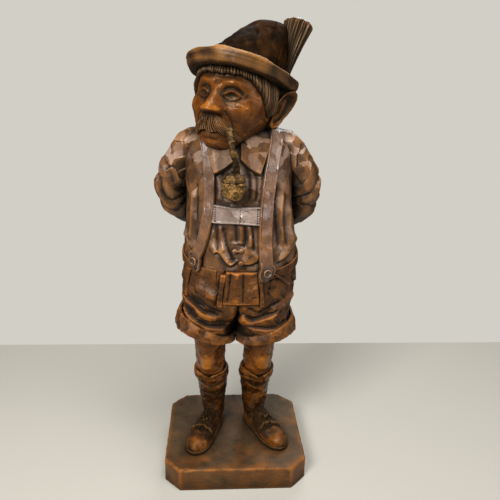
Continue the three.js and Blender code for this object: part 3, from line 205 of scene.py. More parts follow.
def lumps(points, size, seed, count=10):
    # soft unevenness of one size: the mean of sine waves in random directions
    rng = np.random.default_rng(seed)
    way = unit(rng.normal(size=(count, 3))) * rng.uniform(0.6, 1.5, (count, 1)) * 2 * np.pi / size
    return np.sin(points @ way.T + rng.uniform(0, 2 * np.pi, count)).mean(-1) * 1.8


def patches(points, size, seed, bias=0.0, gain=1.0):
    # the parts of a soft unevenness that stand above a level, from 0 to 1
    return np.clip(bias + gain * lumps(points, size, seed), 0, 1)


def toolCuts(grid, pitch, depth, seed, tilt=0.0, stretch=(1, 1, 1)):
    # knife facets: each point belongs to its nearest seed and sinks like a shallow dish leaning at random
    rng = np.random.default_rng(seed)
    points = (grid * np.asarray(stretch, float)).reshape(-1, 3).astype(np.float32)
    cell = np.linalg.norm(np.cross(np.gradient(grid, axis=0), np.gradient(grid, axis=1)), axis=-1)
    count = int(np.clip(cell.sum() / pitch ** 2, 12, 900))
    seeds = points[rng.choice(len(points), count, replace=False)]
    for again in range(3):  # even out the seeds, then take the nearest
        near = np.concatenate([
            ((seeds ** 2).sum(1) - 2 * part @ seeds.T).argmin(1) for part in np.array_split(points, 12)])
        if again < 2:
            size = np.maximum(np.bincount(near, minlength=count), 1)[:, None]
            seeds = np.stack([np.bincount(near, points[:, k], count) for k in range(3)], -1) / size
            seeds = seeds.astype(np.float32)
    away = points - seeds[near]
    dish = np.minimum((away ** 2).sum(1) / (0.7 * pitch) ** 2, 1) - 0.55
    lean = (away * rng.normal(scale=tilt + 1e-6, size=(count, 3))[near]).sum(1)
    return (depth * dish + np.clip(lean, -depth, depth)).reshape(grid.shape[:2])


def carve(grid, seed, work, rise=0.0, shown=1.0, ring=False):
    # lifts a skin by a given rise, knife facets and a soft swell
    # work holds the facets' pitch, depth and tilt, then the swell's height and size
    pitch, depth, tilt, swell, size, *stretch = work
    cuts = toolCuts(grid, pitch, depth, seed, tilt, *stretch)
    return lift(grid, shown * (rise + cuts + swell * lumps(grid, size, seed)), ring)


def drawFolds(across, up, folds):
    # each fold is a short drawn line; a point lifts by its distance from the line
    # ridge: a rounded bead; groove: a cut; lap: a cliff on the line's right that fades away to its left
    total = np.zeros(across.shape)
    for kind, width, height, line in folds:
        line, last = np.asarray(line, float), len(line) - 1
        drawn = spline(np.arange(last + 1), line, np.linspace(0, last, 8 * last + 1))
        low, high = drawn.min(0) - 4 * width, drawn.max(0) + 4 * width
        near = (across > low[0]) & (across < high[0]) & (up > low[1]) & (up < high[1])
        if not near.any():
            continue
        point = np.stack([across[near], up[near]], -1)[:, None]
        start, run = drawn[:-1], np.diff(drawn, axis=0)
        share = np.clip(((point - start) * run).sum(-1) / (run ** 2).sum(-1), 0, 1)
        gap = point - start - share[..., None] * run
        dist = np.hypot(gap[..., 0], gap[..., 1])
        pick = np.arange(len(dist)), dist.argmin(1)
        d, at = dist[pick], (pick[1] + share[pick]) / len(run)
        cross = run[pick[1], 0] * gap[pick][:, 1] - run[pick[1], 1] * gap[pick][:, 0]
        if kind == "ridge":
            shape = np.exp(-(d / width) ** 2)
        elif kind == "groove":
            shape = -np.exp(-np.abs(d) / (0.55 * width))
        else:
            cliff = ease(-0.25 * width, 0.12 * width, np.sign(cross) * d)
            foot = 0.35 * (1 - cliff) * np.exp(-(d / width) ** 2)
            shape = cliff * np.exp(-(d / (1.9 * width)) ** 2) - foot
        total[near] += height * shape * ease(0, 0.16, at) * ease(0, 0.16, 1 - at)
    return total


def standing(grid, ring, reach):
    # how far a point stands above its neighbours at the reach, as a share of the reach
    rows, cols = grid.shape[:2]
    rowGap, colGap = (np.linalg.norm(np.diff(grid, axis=k), axis=-1).mean() for k in (0, 1))
    rowStep, colStep = (max(1, int(round(reach / gap))) for gap in (rowGap, colGap))
    ahead, behind = np.arange(rows) + rowStep, np.arange(rows) - rowStep
    if ring:
        ahead, behind = ahead % rows, behind % rows
    else:
        ahead, behind = np.clip(ahead, 0, rows - 1), np.clip(behind, 0, rows - 1)
    colStep = min(colStep, cols // 4)
    mean = (grid[ahead] + grid[behind] + np.roll(grid, colStep, 1) + np.roll(grid, -colStep, 1)) / 4
    return ((grid - mean) * skinNormals(grid, ring)).sum(-1) / reach


wearing = dict(fine=2.0, broad=7.0, fineEdge=(0.14, 0.42), broadEdge=(0.1, 0.4), fineHollow=(0.03, 0.2),
               broadHollow=(0.02, 0.22), fineRub=0.55, broadRub=0.7, broadSink=0.8)


def wearOf(grid, ring, marks):
    # raised places are rubbed and low ones sunk, at two reaches; marks above 0 rub more, below 0 darken: a
    # stain in some places, painted shade in others
    w = wearing
    fine, broad = standing(grid, ring, w["fine"]), standing(grid, ring, w["broad"])
    edge = w["fineRub"] * ease(*w["fineEdge"], fine) + w["broadRub"] * ease(*w["broadEdge"], broad)
    hollow = ease(*w["fineHollow"], -fine) + w["broadSink"] * ease(*w["broadHollow"], -broad)
    return np.clip(np.clip(edge, 0, 1) + marks, 0, 1), np.clip(np.clip(hollow, 0, 1) - marks, 0, 1)


def addObject(name, data):
    # a new object at the origin, linked into the scene
    made = bpy.data.objects.new(name, data)
    bpy.context.scene.collection.objects.link(made)
    return made


def makePiece(name, node, look, *surfaces, ring=False):
    # grids of points become one mesh: four neighbours make a face, and an open end closes on a middle point
    # a surface is a grid with its marks of wear, stain and painted shade; a ring closes along its rows as
    # well
    points, quads, tris, worn, sunk, base = [], [], [], [], [], 0
    for grid, marks in surfaces:
        marks = np.broadcast_to(marks, grid.shape[:2])
        facing = faceOut(grid, ring)
        if facing is not grid:
            grid, marks = facing, marks[:, ::-1]
        rows, cols = grid.shape[:2]
        number = base + np.arange(rows * cols).reshape(rows, cols)
        here = number if ring else number[:-1]
        above = np.roll(number, -1, 0)[:len(here)]
        quads.append(np.stack([here, np.roll(here, -1, 1), np.roll(above, -1, 1), above], -1).reshape(-1, 4))
        edge, hollow = wearOf(grid, ring, marks)
        points.append(grid.reshape(-1, 3))
        worn.append(edge.ravel())
        sunk.append(hollow.ravel())
        base += rows * cols
        if not ring:
            for row, order in ((0, -1), (rows - 1, 1)):
                points.append(grid[row].mean(0)[None])
                worn.append(edge[row].mean()[None])
                sunk.append(hollow[row].mean()[None])
                rim = number[row][::order]
                tris.append(np.stack([rim, np.roll(rim, -1), np.full(cols, base)], -1))
                base += 1
    quads = np.concatenate(quads)
    tris = np.concatenate(tris) if tris else np.zeros((0, 3), int)
    mesh = bpy.data.meshes.new(name)
    mesh.vertices.add(base)
    mesh.vertices.foreach_set("co", (np.concatenate(points) * mm).astype(np.float32).ravel())
    corners = np.concatenate([quads.ravel(), tris.ravel()]).astype(np.int32)
    mesh.loops.add(len(corners))
    mesh.loops.foreach_set("vertex_index", corners)
    mesh.polygons.add(len(quads) + len(tris))
    starts = np.concatenate([4 * np.arange(len(quads)), 4 * len(quads) + 3 * np.arange(len(tris))])
    mesh.polygons.foreach_set("loop_start", starts.astype(np.int32))
    mesh.update(calc_edges=True)
    mesh.polygons.foreach_set("use_smooth", np.ones(len(starts), bool))
    for label, values in (("worn", worn), ("sunk", sunk)):
        mesh.attributes.new(label, "FLOAT", "POINT").data.foreach_set(
            "value", np.concatenate(values).astype(np.float32))
    mesh.materials.append(finishes[look])
    piece = addObject(name, mesh)
    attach(piece, "root")
    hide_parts(node)
    print("made", name, len(quads) * 2 + len(tris), "triangles")


def slab(nTop, nUnder=14):
    # a flat strip's section: s runs over the top from -1 to 1 and back underneath, where top is 0
    s = np.r_[np.sin(np.linspace(-np.pi / 2, np.pi / 2, nTop)), np.linspace(1, -1, nUnder + 2)[1:-1]]
    return s, np.r_[np.ones(nTop), np.zeros(nUnder)]


def softEdge(distance, radius):
    # height share of a rounded edge at a distance inside it
    return np.sqrt(np.clip(1 - (1 - np.clip(distance / radius, 0, 1)) ** 2, 0, 1))


# finishes

def hexColour(text):
    # a hex colour as linear numbers
    v = np.array([int(text[k:k + 2], 16) for k in (0, 2, 4)]) / 255
    return tuple(np.where(v <= 0.04045, v / 12.92, ((v + 0.055) / 1.055) ** 2.4)) + (1.0,)


def newFinish(name):
    # a material with its node tree and its shader
    finish = bpy.data.materials.new(name)
    finish.use_nodes = True
    return finish, finish.node_tree, finish.node_tree.nodes["Principled BSDF"]


def addNode(tree, kind, inputs, **settings):
    # a shader node with its settings; each input is linked from a socket or set to a value
    node = tree.nodes.new("ShaderNode" + kind)
    for key, value in settings.items():
        setattr(node, key, value)
    for key, value in inputs.items():
        if isinstance(value, bpy.types.NodeSocket):
            tree.links.new(value, node.inputs[key])
        else:
            node.inputs[key].default_value = value
    return node


def waxFinish(name, look):
    # mottled body colour, rubbed warm on raised edges, a dark wash in hollows, painted shade in corners, a
    # painted sheen on facets facing up and forward, pitted satin skin
    finish, tree, shader = newFinish(name)
    base, patchTone, rubbed, deep, paintedSheenTone = (
        hexColour(v) for v in (*look["tones"].split(), look["deep"], look["paintedSheenColour"]))

    def node(kind, inputs, **settings):
        # a node of this finish
        return addNode(tree, kind, inputs, **settings)

    def mixed(share, first, second):
        # from the first colour to the second
        return node("Mix", {0: share, 6: first, 7: second}, data_type="RGBA").outputs[2]

    def ranged(value, low, high, start=0.0, end=1.0):
        # the span from low to high becomes the span from start to end
        return node("MapRange", {0: value, 1: low, 2: high, 3: start, 4: end}).outputs[0]

    def reckoned(kind, first, second):
        # two numbers put together, kept between 0 and 1
        return node("Math", {0: first, 1: second}, operation=kind, use_clamp=True).outputs[0]

    def plus(first, second):
        # the sum
        return reckoned("ADD", first, second)

    def times(first, *more):
        # the product
        for second in more:
            first = reckoned("MULTIPLY", first, second)
        return first

    place = node("TexCoord", {}).outputs["Object"]
    normal = node("NewGeometry", {}).outputs["Normal"]

    def noise(scale, detail, rough):
        # soft noise over the piece's own coordinates
        inputs = dict(Vector=place, Scale=scale, Detail=detail, Roughness=rough)
        return node("TexNoise", inputs).outputs["Fac"]

    def shifted(kind, *vectors):
        # a vector from others: added, scaled or brought to length 1
        return node("VectorMath", dict(enumerate(vectors)), operation=kind).outputs[0]

    def cells(feature):
        # wobbly knife facets
        return node("TexVoronoi", dict(Vector=wobble, Scale=look["facet"]), feature=feature).outputs

    patch, grit = noise(look["patch"], 4.0, 0.55), noise(look["grit"], 5.0, 0.65)
    stir = node("TexNoise", dict(Vector=place, Scale=look["stir"])).outputs["Color"]
    wobble = shifted("MULTIPLY_ADD", stir, (look["stirReach"] * mm,) * 3, place)
    facet = cells("F1")["Color"]
    chance = node("SeparateColor", {0: facet}).outputs
    brink = ranged(cells("DISTANCE_TO_EDGE")["Distance"], 0.0, 0.06, 1.0, 0.0)
    worn, sunk = (node("Attribute", {}, attribute_name=label).outputs["Fac"] for label in ("worn", "sunk"))
    # painted shade: ambient occlusion darkens corners, the places under overhangs and the seams between
    # pieces, and also stands partly for the dark wash
    corner = node("AmbientOcclusion", dict(Distance=look["cornerReach"] * mm)).outputs["AO"]
    cornerShade = ranged(corner, 0.4, 0.96, 1.0, 0.0)

    body = mixed(ranged(patch, 0.36, 0.64), base, patchTone)
    body = mixed(times(chance[0], look["facetTone"]), body, patchTone)
    facing, spot = (node("SeparateXYZ", {0: v}).outputs for v in (normal, place))
    # painted sheen: facets facing up and towards the front, fuller high on the figure, take a pale tone as if
    # they reflected a light above
    slope = times(ranged(facing["Z"], 0.02, 0.3), ranged(facing["Z"], 0.9, 0.6),  # up, but not flat
                  ranged(facing["Y"], 0.1, -0.35), ranged(spot["Z"], 0.285, 0.325, 0.5, 1.0))  # front, high
    body = mixed(times(times(ranged(chance[1], 0.35, 0.6), slope), look["paintedSheen"]), body, paintedSheenTone)
    body = mixed(times(ranged(grit, 0.52, 0.7), look["speckle"]), body, deep)
    blotch = times(ranged(noise(look["patch"] * 0.55, 5.0, 0.6), 0.5, 0.68), look["blotch"])
    rub = plus(times(worn, ranged(grit, 0.25, 0.6, 0.45, 1.0)), blotch)
    rub = plus(rub, times(brink, ranged(patch, 0.4, 0.6), look["lines"]))
    body = mixed(times(rub, look["rub"]), body, rubbed)
    # the dark wash in hollows; marks below 0 deepen it, in some places as a real stain and in others as
    # painted shade
    body = mixed(times(sunk, look["washAndShade"]), body, deep)
    body = mixed(times(cornerShade, look["cornerWashAndShade"]), body, deep)
    matt = times(plus(sunk, cornerShade), 0.3)
    rough = plus(ranged(grit, 0.3, 0.7, look["rough"] - 0.06, look["rough"] + 0.1), matt)

    pits = node("TexVoronoi", dict(Vector=place, Scale=look["pitScale"])).outputs["Distance"]
    relief = plus(times(ranged(pits, 0.05, 0.32), look["pits"]), times(grit, 0.5))
    lean = shifted("SUBTRACT", facet, (0.5, 0.5, 0.5))
    even = shifted("NORMALIZE", shifted("MULTIPLY_ADD", lean, (look["knife"],) * 3, normal))
    bump = node("Bump", dict(Strength=look["bump"], Distance=0.5 * mm, Height=relief, Normal=even))
    for key, value in (("Base Color", body), ("Roughness", rough), ("Normal", bump.outputs["Normal"])):
        tree.links.new(value, shader.inputs[key])
    shader.inputs["Specular IOR Level"].default_value = look["shine"]
    shader.inputs["Specular Tint"].default_value = hexColour(look["tint"])
    return finish


# tones are the body, its patches and what rubbing lays bare
plainWax = dict(patch=70.0, grit=520.0, speckle=0.4, rub=0.8, blotch=0.3, washAndShade=1.0, cornerWashAndShade=0.95,
                cornerReach=24.0, rough=0.27, shine=0.5, tint="ffdcb0", pitScale=420.0, pits=0.2, bump=0.22,
                deep="0a0502", facet=105.0, facetTone=0.9, lines=0.15, knife=0.55, stir=60.0, stirReach=12.0,
                paintedSheen=0.0, paintedSheenColour="8d7263")
combed = dict(facetTone=0.2, lines=0.0, knife=0.0)
looks = dict(
    skin=dict(tones="733f12 4a250a ad681f", rub=0.6, blotch=0.2, lines=0.05, facet=85.0, knife=0.35,
              rough=0.32, shine=0.4),
    shirt=dict(tones="6c492e 3a2414 a86e33", rub=0.7, paintedSheen=0.8, paintedSheenColour="a08472", rough=0.34, shine=0.4,
               tint="fff1e2"),
    collar=dict(tones="573720 372010 a5744a", rough=0.36, shine=0.4, knife=0.4, paintedSheen=0.45),
    breeches=dict(tones="613b18 371d0a ad661f", rub=0.8, blotch=0.2, paintedSheen=0.3, rough=0.46, shine=0.28,
                  tint="ffeedb"),
    strap=dict(tones="785a49 533a2a 87582c", rub=0.65, blotch=0.25, lines=0.0, knife=0.4, paintedSheen=0.3,
               paintedSheenColour="a08a7e", tint="ffffff"),
    band=dict(tones="968379 745f53 ad978a", rub=0.6, blotch=0.2, facetTone=0.5, lines=0.0, knife=0.3,
              tint="ffffff"),
    sock=dict(tones="3a1f0a 1c0d05 a05c1b", blotch=0.35, shine=0.36, speckle=0.8, pits=0.9, pitScale=260.0),
    shoe=dict(tones="382010 221207 945416", speckle=0.8, pits=0.6, rough=0.42, shine=0.3, knife=0.3),
    sole=dict(tones="33210f 22150a 6b4a26", rub=0.6, pits=0.5, rough=0.45, shine=0.25),
    hat=dict(tones="190e06 0b0502 744418", rub=0.5, blotch=0.32, rough=0.68, shine=0.05, knife=0.3),
    brim=dict(tones="57381d 24160b a87136", rub=0.7, patch=55.0, blotch=0.15, rough=0.4, shine=0.32,
              facet=70.0, facetTone=0.25, lines=0.0, knife=0.12, tint="fff4e6"),
    hair=dict(tones="4a3320 38261a 8a6640", rub=0.7, shine=0.3, cornerReach=8.0, **combed),
    beard=dict(tones="38230e 1e1106 a6713f", rub=0.9, tint="fff4e6", cornerReach=8.0, **combed),
    brush=dict(tones="2a190c 190e07 5e3e20", rub=0.7, shine=0.25, **combed),
    pipe=dict(tones="44301b 22150a 98723c", rub=0.85, pits=1.0, pitScale=300.0, facet=260.0, rough=0.4,
              shine=0.26),
    lid=dict(tones="2b1b0c 190f06 6f5029", facet=260.0, rough=0.38, shine=0.3),
    plinth=dict(tones="453422 2c2014 96571f", rub=0.8, blotch=0.25, rough=0.48, shine=0.32, patch=60.0,
                speckle=0.75, facetTone=0.0, lines=0.0, knife=0.0, pits=0.9, pitScale=240.0, bump=0.55))
finishes = {key: waxFinish(key + "_wax", plainWax | look) for key, look in looks.items()}
print("finishes mixed")


# plinth

plinth = dict(width=147, depth=133, height=25, cornerCut=16.5, setBack=2, wear=2.2, cols=520, underRows=8,
              sideRows=26, edgeRows=7, topRows=64, cuts=(15, 0.3), chip=1.6, rimWear=0.7, cornerWear=0.5,
              frontWear=0.5, frontDeep=26, scratches=0.5, seed=3)


def plinthGrid(p):
    # a rectangle with cut corners walked at an even pace, drawn in along a profile of (inset, height)
    w, d, c, seed = p["width"] / 2, p["depth"] / 2, p["cornerCut"], p["seed"]
    loop = np.array([(-w + c, -d), (w - c, -d), (w, -d + c), (w, d - c),
                     (w - c, d), (-w + c, d), (-w, d - c), (-w, -d + c), (-w + c, -d)])
    run = np.r_[0, np.cumsum(np.hypot(*np.diff(loop, axis=0).T))]
    at = np.linspace(0, run[-1], p["cols"], endpoint=False)
    rim = np.stack([np.interp(at, run, loop[:, k]) for k in (0, 1)], -1)
    rim = (rim + np.roll(rim, 1, 0) + np.roll(rim, -1, 0)) / 3
    h, r = p["height"], p["wear"]
    corner = np.linspace(0, np.pi / 2, p["edgeRows"])
    inset = np.r_[np.linspace(60, 2, p["underRows"]), [0.6, 0.1], np.zeros(p["sideRows"]),
                  r * (1 - np.cos(corner)), np.linspace(r + 1, 62, p["topRows"])][:, None]
    z = np.r_[np.zeros(p["underRows"]), [0.1, 0.6], np.linspace(1.2, h - r - 0.6, p["sideRows"]),
              h - r + r * np.sin(corner), np.full(p["topRows"], h)][:, None]
    inward = rim / np.maximum(np.abs(rim[:, :1]) / w, np.abs(rim[:, 1:]) / d) / np.array([w, d])
    grid = raised(rim - inset[..., None] * inward * np.array([w, d]) / max(w, d), z)
    shown = z > 0.8  # all but the underside
    side = hump(inset, 0, 4) * shown
    edge = hump(np.hypot(np.maximum(inset, 0), z - h), 0, 2.0)
    rise = toolCuts(grid, *p["cuts"], seed, 0.02) * (0.35 + 0.65 * side) * shown
    rise = rise - edge * patches(grid, 9, seed + 1, -0.1) * p["chip"]
    ahead = np.searchsorted(run, at)
    upright = hump(run[ahead % len(run)] - at, 0, 1.8) + hump(at - run[ahead - 1], 0, 1.8)
    ragged = np.clip(0.5 + 0.6 * lumps(grid, 14, seed + 2) + 0.5 * lumps(grid, 4, seed + 5), 0, 1)
    wear = (p["rimWear"] * edge + p["cornerWear"] * side * upright) * ragged
    wear = wear + side * (0.24 + 0.3 * patches(grid, 30, seed + 3))
    grid = lift(grid, rise) + np.array([0, p["setBack"], 0])
    front = hump(grid[..., 1], -d, p["frontDeep"]) * (1 - side)
    scratch = patches(grid * np.array([0.35, 0.35, 3.0]), 7, seed + 6, -0.45) * side
    # stained patches at random, more on the sides
    stainAndShade = patches(grid, 19, seed + 7, -0.15) * (0.2 + 0.2 * side)
    wear = wear + p["scratches"] * scratch - stainAndShade * (1 - edge)
    return grid, wear + p["frontWear"] * front * patches(grid, 21, seed + 4, 0.15)


makePiece("plinth_block", "plinth", "plinth", plinthGrid(plinth))


# shoes: a sole with its welt, an upper and a fringed tongue, each foot turned out

shoe = dict(length=69, floor=25.3, sole=3.2, welt=0.8, cuts=(8, 0.32), swell=0.6, archCols=92, floorCols=22,
            right=dict(heel=(-21, 24), turn=-20, skew=0), left=dict(heel=(18.6, 26), turn=27, skew=3))
shoeWidth = [(-0.03, 2.5), (0, 7), (0.06, 10), (0.22, 11.5), (0.42, 11.6), (0.65, 13), (0.86, 11.4),
             (0.96, 7.6), (1.01, 2.5)]
shoeHeight = [(-0.03, 8), (0, 12.6), (0.06, 16.5), (0.25, 17.5), (0.42, 15.5), (0.6, 12), (0.82, 11.4),
              (0.95, 8), (1.01, 3)]
vampFolds = [
    ("groove", 2.6, 1.6, [(14, 36), (8, 43), (0, 46), (-8, 43), (-14, 36)]),
    ("ridge", 3.0, 0.8, [(13, 40), (7, 47), (0, 50), (-7, 47), (-13, 40)]),
    ("groove", 1.8, 0.7, [(10, 20), (11, 30), (10, 38)]),
    ("groove", 1.8, 0.7, [(-10, 20), (-11, 30), (-10, 38)]),
]


def shoeSize(share):
    # half width and height at a share of the way from heel to toe, from the two tables
    return readRows(shoeWidth, share)[0], readRows(shoeHeight, share)[0]


def shoePlace(hand, surface):
    # from the foot's own frame, heel at the origin and toes towards -Y, to its place on the plinth
    grid, wear = surface
    foot = shoe[hand]
    return grid @ turned(2, foot["turn"]).T + np.array([*foot["heel"], shoe["floor"]]), wear


def upperGrid(seed):
    # sections across the foot: an arch over a flat bottom
    share = np.r_[np.linspace(-0.03, 0.06, 14)[:-1], np.linspace(0.06, 0.95, 90)[:-1],
                  np.linspace(0.95, 1.01, 12)][:, None]
    half, high = shoeSize(share)
    t = np.linspace(0, np.pi, shoe["archCols"])
    x = half * np.r_[np.cos(t), np.linspace(-1, 1, shoe["floorCols"] + 2)[1:-1]]
    z = high * np.r_[np.sin(t) ** 0.8, np.zeros(shoe["floorCols"])]
    grid = faceOut(np.stack([x, -shoe["length"] * share + 0 * x, shoe["sole"] + z], -1))
    top = ease(0.5, 3, grid[..., 2] - shoe["sole"])
    rise = drawFolds(grid[..., 0], -grid[..., 1], vampFolds) + toolCuts(grid, *shoe["cuts"], seed, 0.05)
    toe = ease(0.76, 0.88, share) * patches(grid, 9, seed + 1, 0.6, 0.5)
    vamp = ease(0.3, 0.42, share) * (1 - ease(0.62, 0.74, share))
    rise = (rise + shoe["swell"] * lumps(grid, 14, seed)) * (1 - 0.6 * ease(0.72, 0.84, share))
    return lift(grid, top * rise), 0.5 * toe - 0.3 * vamp - 0.15


def soleGrid(seed):
    # the outline of the upper grown by the welt, drawn in along a rounded edge
    long, h, turn = shoe["length"], shoe["sole"] + 0.4, np.linspace(0, np.pi, 110)
    share = 0.5 - 0.515 * np.cos(turn)
    half = shoeSize(share)[0] + shoe["welt"] * np.sin(turn) ** 0.25
    y = -long * (share - 0.5) * (1 + 2 * shoe["welt"] / long) - long / 2
    rim = np.concatenate([np.stack([-half, y], -1), np.stack([half, y], -1)[::-1]])
    inset = np.r_[10, 6, 3, 1.2, 0.3, 0, 0, 0, 0, 0.15, 0.5, 1, 1.8, 2.6, 4, 6, 10]
    z = np.r_[0, 0, 0, 0, 0.3, 0.9, 1.6, 2.3, 2.9, h - 0.6, h - 0.2, h, h, h, h - 0.2, h - 0.3, h - 0.3]
    away = rim - np.array([0, -long / 2])
    inward = away / np.maximum(np.linalg.norm(away, axis=1, keepdims=True), 12)
    inward[:, 1] *= 0.45
    grid = raised(rim - inset[:, None, None] * inward, z)
    return grid + 0.25 * lumps(grid, 7, seed)[..., None] * np.array([1, 1, 0]), 0


tongues = [dict(start=19, long=26.5, near=7.4, far=12.4, floor=0.2, thick=2.0, lip=1.5, fringe=2.0),
           dict(start=20, long=16, near=3.6, far=6.6, floor=1.8, thick=1.7, lip=1.2, fringe=3.0)]


def tongueGrid(t, skew, seed):
    # a flap laid over the instep: s goes across, u along; its toe end turns up and is torn into points
    s, top = slab(90)
    u = steps(90)
    tooth = 0.5 * np.sin(4.3 * s + seed) + 0.3 * np.sin(12 * s + 2 * seed) + 0.2 * np.sin(29 * s)
    tooth = tooth - 0.5 * s * s
    along = t["start"] + u * (t["long"] + skew * s + t["fringe"] * tooth * ease(0.3, 1, u))
    half = t["near"] + (t["far"] - t["near"]) * ease(0.3, 0.9, u) + 0.4 * np.sin(9 * u + seed)
    width, high = shoeSize(along / shoe["length"])
    x = s * half
    arch = high * np.clip(1 - (x / width) ** 2, 0.02, 1) ** 0.4
    rim = softEdge((1 - np.abs(s)) * half, 1.0) * softEdge((1 - u) * t["long"], 1.0)
    rim = rim * softEdge(u * t["long"], 1.2)
    folds = 0.35 * np.abs(np.sin(1.1 * x + 0.8 * np.sin(4 * u + seed))) - 0.5 * np.exp(-np.abs(x) / 0.8)
    thick = t["thick"] + 1.6 * folds + t["lip"] * ease(0.7, 0.97, u)
    grid = np.stack([x + 0 * u, -along, shoe["sole"] + t["floor"] + arch + top * rim * thick], -1)
    grid = grid + 0.25 * (top * lumps(grid, 6, seed))[..., None] * np.array([0, 0, 1])
    return grid, -0.15 + 0.25 * hump(u, 0.93, 0.05) + 0 * x


for hand, seed in (("right", 11), ("left", 12)):
    layers = [tongueGrid(t, shoe[hand]["skew"], seed + 3 * k) for k, t in enumerate(tongues)]
    makePiece(hand + "_shoe_sole", hand + "_sole", "sole", shoePlace(hand, soleGrid(seed)))
    makePiece(hand + "_shoe_upper", hand + "_shoe", "shoe", shoePlace(hand, upperGrid(seed)))
    makePiece(hand + "_fringed_tongue", hand + "_shoe_tongue", "sole", *(shoePlace(hand, v) for v in layers))


# legs: knitted socks with rolled tops, then the bare knee and thigh

leg = dict(
    sock=[(40, 23.2, 18, 11.8, 11.8, 12.2), (84, 25.4, 15.5, 16.6, 15.6, 19.2),
          (99, 26.5, 12.5, 16.6, 15.6, 17.6)],
    thigh=[(96, 26.5, 12.5, 15.1, 15.1, 15.1), (127, 27.6, 7, 16.6, 18.6, 16.6),
           (172, 29, 4, 17.5, 17.5, 17.5)],
    leftInward=dict(sock=(0.5, 2.4, 2.4), thigh=(2.4, 2.4, 2.4)), cuffTop=101, cuffDip=8.5, cuffLow=88,
    cuffThick=2.1, cuffGrid=(240, 72), sockRound=16, kneeRound=16.6, capHigh=113,
    sockSpan=(40, 97, 90, 150), kneeSpan=(97, 170, 110, 150),  # from, to, rows and columns
    sockWork=(5.5, 0.36, 0.06, 0.5, 16), cuffWork=(6, 0.25, 0.04, 0.4, 10), kneeWork=(8, 0.45, 0.07, 0.5, 15))
sockFolds = [("lap", 3.5, 0.9, [(16, 85), (4, 79), (-4, 80), (-16, 86)]),
             ("groove", 3, 0.8, [(-12, 72), (-2, 69), (8, 73)])]
kneeFolds = [("ridge", 6.0, -1.8, [(18, 136), (16, 120), (9, 104)]),
             ("ridge", 6.0, -1.6, [(-17, 134), (-15, 118), (-10, 104)]),
             ("ridge", 7.0, 1.6, [(0, 126), (0, 116), (0, 106)]),
             ("ridge", 5.0, -0.9, [(-12, 134), (-1, 138), (10, 136)])]


def legForm(key, sideSign):
    # a leg's rows on its own side; the left leg stands a little further in
    rows = np.array(leg[key], float)
    rows[:, 1] = sideSign * rows[:, 1] - (sideSign > 0) * np.array(leg["leftInward"][key])
    return dict(rows=rows, full=2.0)


def sockGrid(sideSign, seed):
    # the lower leg's form, knobbly all over
    grid, angle, z = formGrid(legForm("sock", sideSign), *leg["sockSpan"])
    return carve(grid, seed, leg["sockWork"], drawFolds(signed(angle) * leg["sockRound"], z, sockFolds)), 0


def cuffRollGrid(sideSign, seed):
    # a broad band rolled down over the sock: its top edge dips to a V under the knee, its lower edge sags
    angle, t = roundGrid(*leg["cuffGrid"])
    turn = signed(angle) - 0.15 * sideSign
    high = leg["cuffTop"] - leg["cuffDip"] * np.exp(-np.abs(turn) / 0.6) + 0.8 * np.sin(2 * angle + seed)
    low = leg["cuffLow"] - 1.6 * hump(turn, 0.2 * sideSign, 0.7) + 0.9 * np.sin(3 * angle + seed)
    up = bend(np.sin(t), 0.8)
    z = low + (high - low) * (0.5 + 0.5 * up)
    out = leg["cuffThick"] * (0.55 + 0.45 * softEdge(1 - np.abs(up), 0.5))
    out = out * (1 - 0.4 * hump(up, 0.15 + 0.3 * np.sin(2 * angle), 0.14))
    out = np.where(np.cos(t) < 0, -1.2, out)
    grid = offForm(legForm("sock", sideSign), angle, np.minimum(z, leg["sock"][-1][0]), 0.2, out)
    grid[..., 2] = z
    return carve(faceOut(grid, True), seed, leg["cuffWork"], ring=True), 0


def kneeGrid(sideSign, seed):
    # the thigh's form with a kneecap standing out in front
    grid, angle, z = formGrid(legForm("thigh", sideSign), *leg["kneeSpan"])
    turn = signed(angle) - 0.25 * sideSign
    cap = 2.2 * hump(turn, 0, 0.55) * hump(z, leg["capHigh"], 8) + 0.9 * hump(turn, 0, 0.35) * hump(z, 106, 4)
    cap = cap + drawFolds(-sideSign * turn * leg["kneeRound"], z, kneeFolds)
    wear = 0.55 * hump(turn + 0.2 * sideSign, 0, 0.5) * hump(z, leg["capHigh"] + 1, 10)
    return carve(grid, seed, leg["kneeWork"], cap), wear


for hand, sideSign, seed in (("right", -1, 21), ("left", 1, 22)):
    makePiece(hand + "_sock_leg", hand + "_sock", "sock", sockGrid(sideSign, seed))
    makePiece(hand + "_sock_roll", hand + "_sock_cuff", "sock", cuffRollGrid(sideSign, seed), ring=True)
    makePiece(hand + "_bare_knee", hand + "_knee", "skin", kneeGrid(sideSign, seed))


# trunk: the form that breeches, shirt and straps share

trunk = dict(full=2.2, brink=0.995, rows=[
    (167, 0, 0, 51.6, 37, 37), (183, 0.5, 0, 54.6, 43, 43), (232, 2.2, 0, 56.2, 47.5, 41.5),
    (292, 0, 0, 50.5, 44.5, 40), (344, -2.5, 0, 47, 32, 33), (362, -2.5, 0, 27, 15, 20)])
degreeMm = 0.9  # a degree round the trunk is about this long


def layOn(x, z, height):
    # a point laid on the trunk's front, lifted along the skin's normal
    x, z, height = np.broadcast_arrays(x, z, height)
    y = frontOf(trunk, x, z)
    slopeX = (frontOf(trunk, x + 0.4, z) - frontOf(trunk, x - 0.4, z)) / 0.8
    slopeZ = (frontOf(trunk, x, z + 0.4) - frontOf(trunk, x, z - 0.4)) / 0.8
    normal = unit(np.stack([slopeX, -np.ones_like(y), slopeZ], -1))
    return np.stack([x, y, z], -1) + normal * height[..., None]


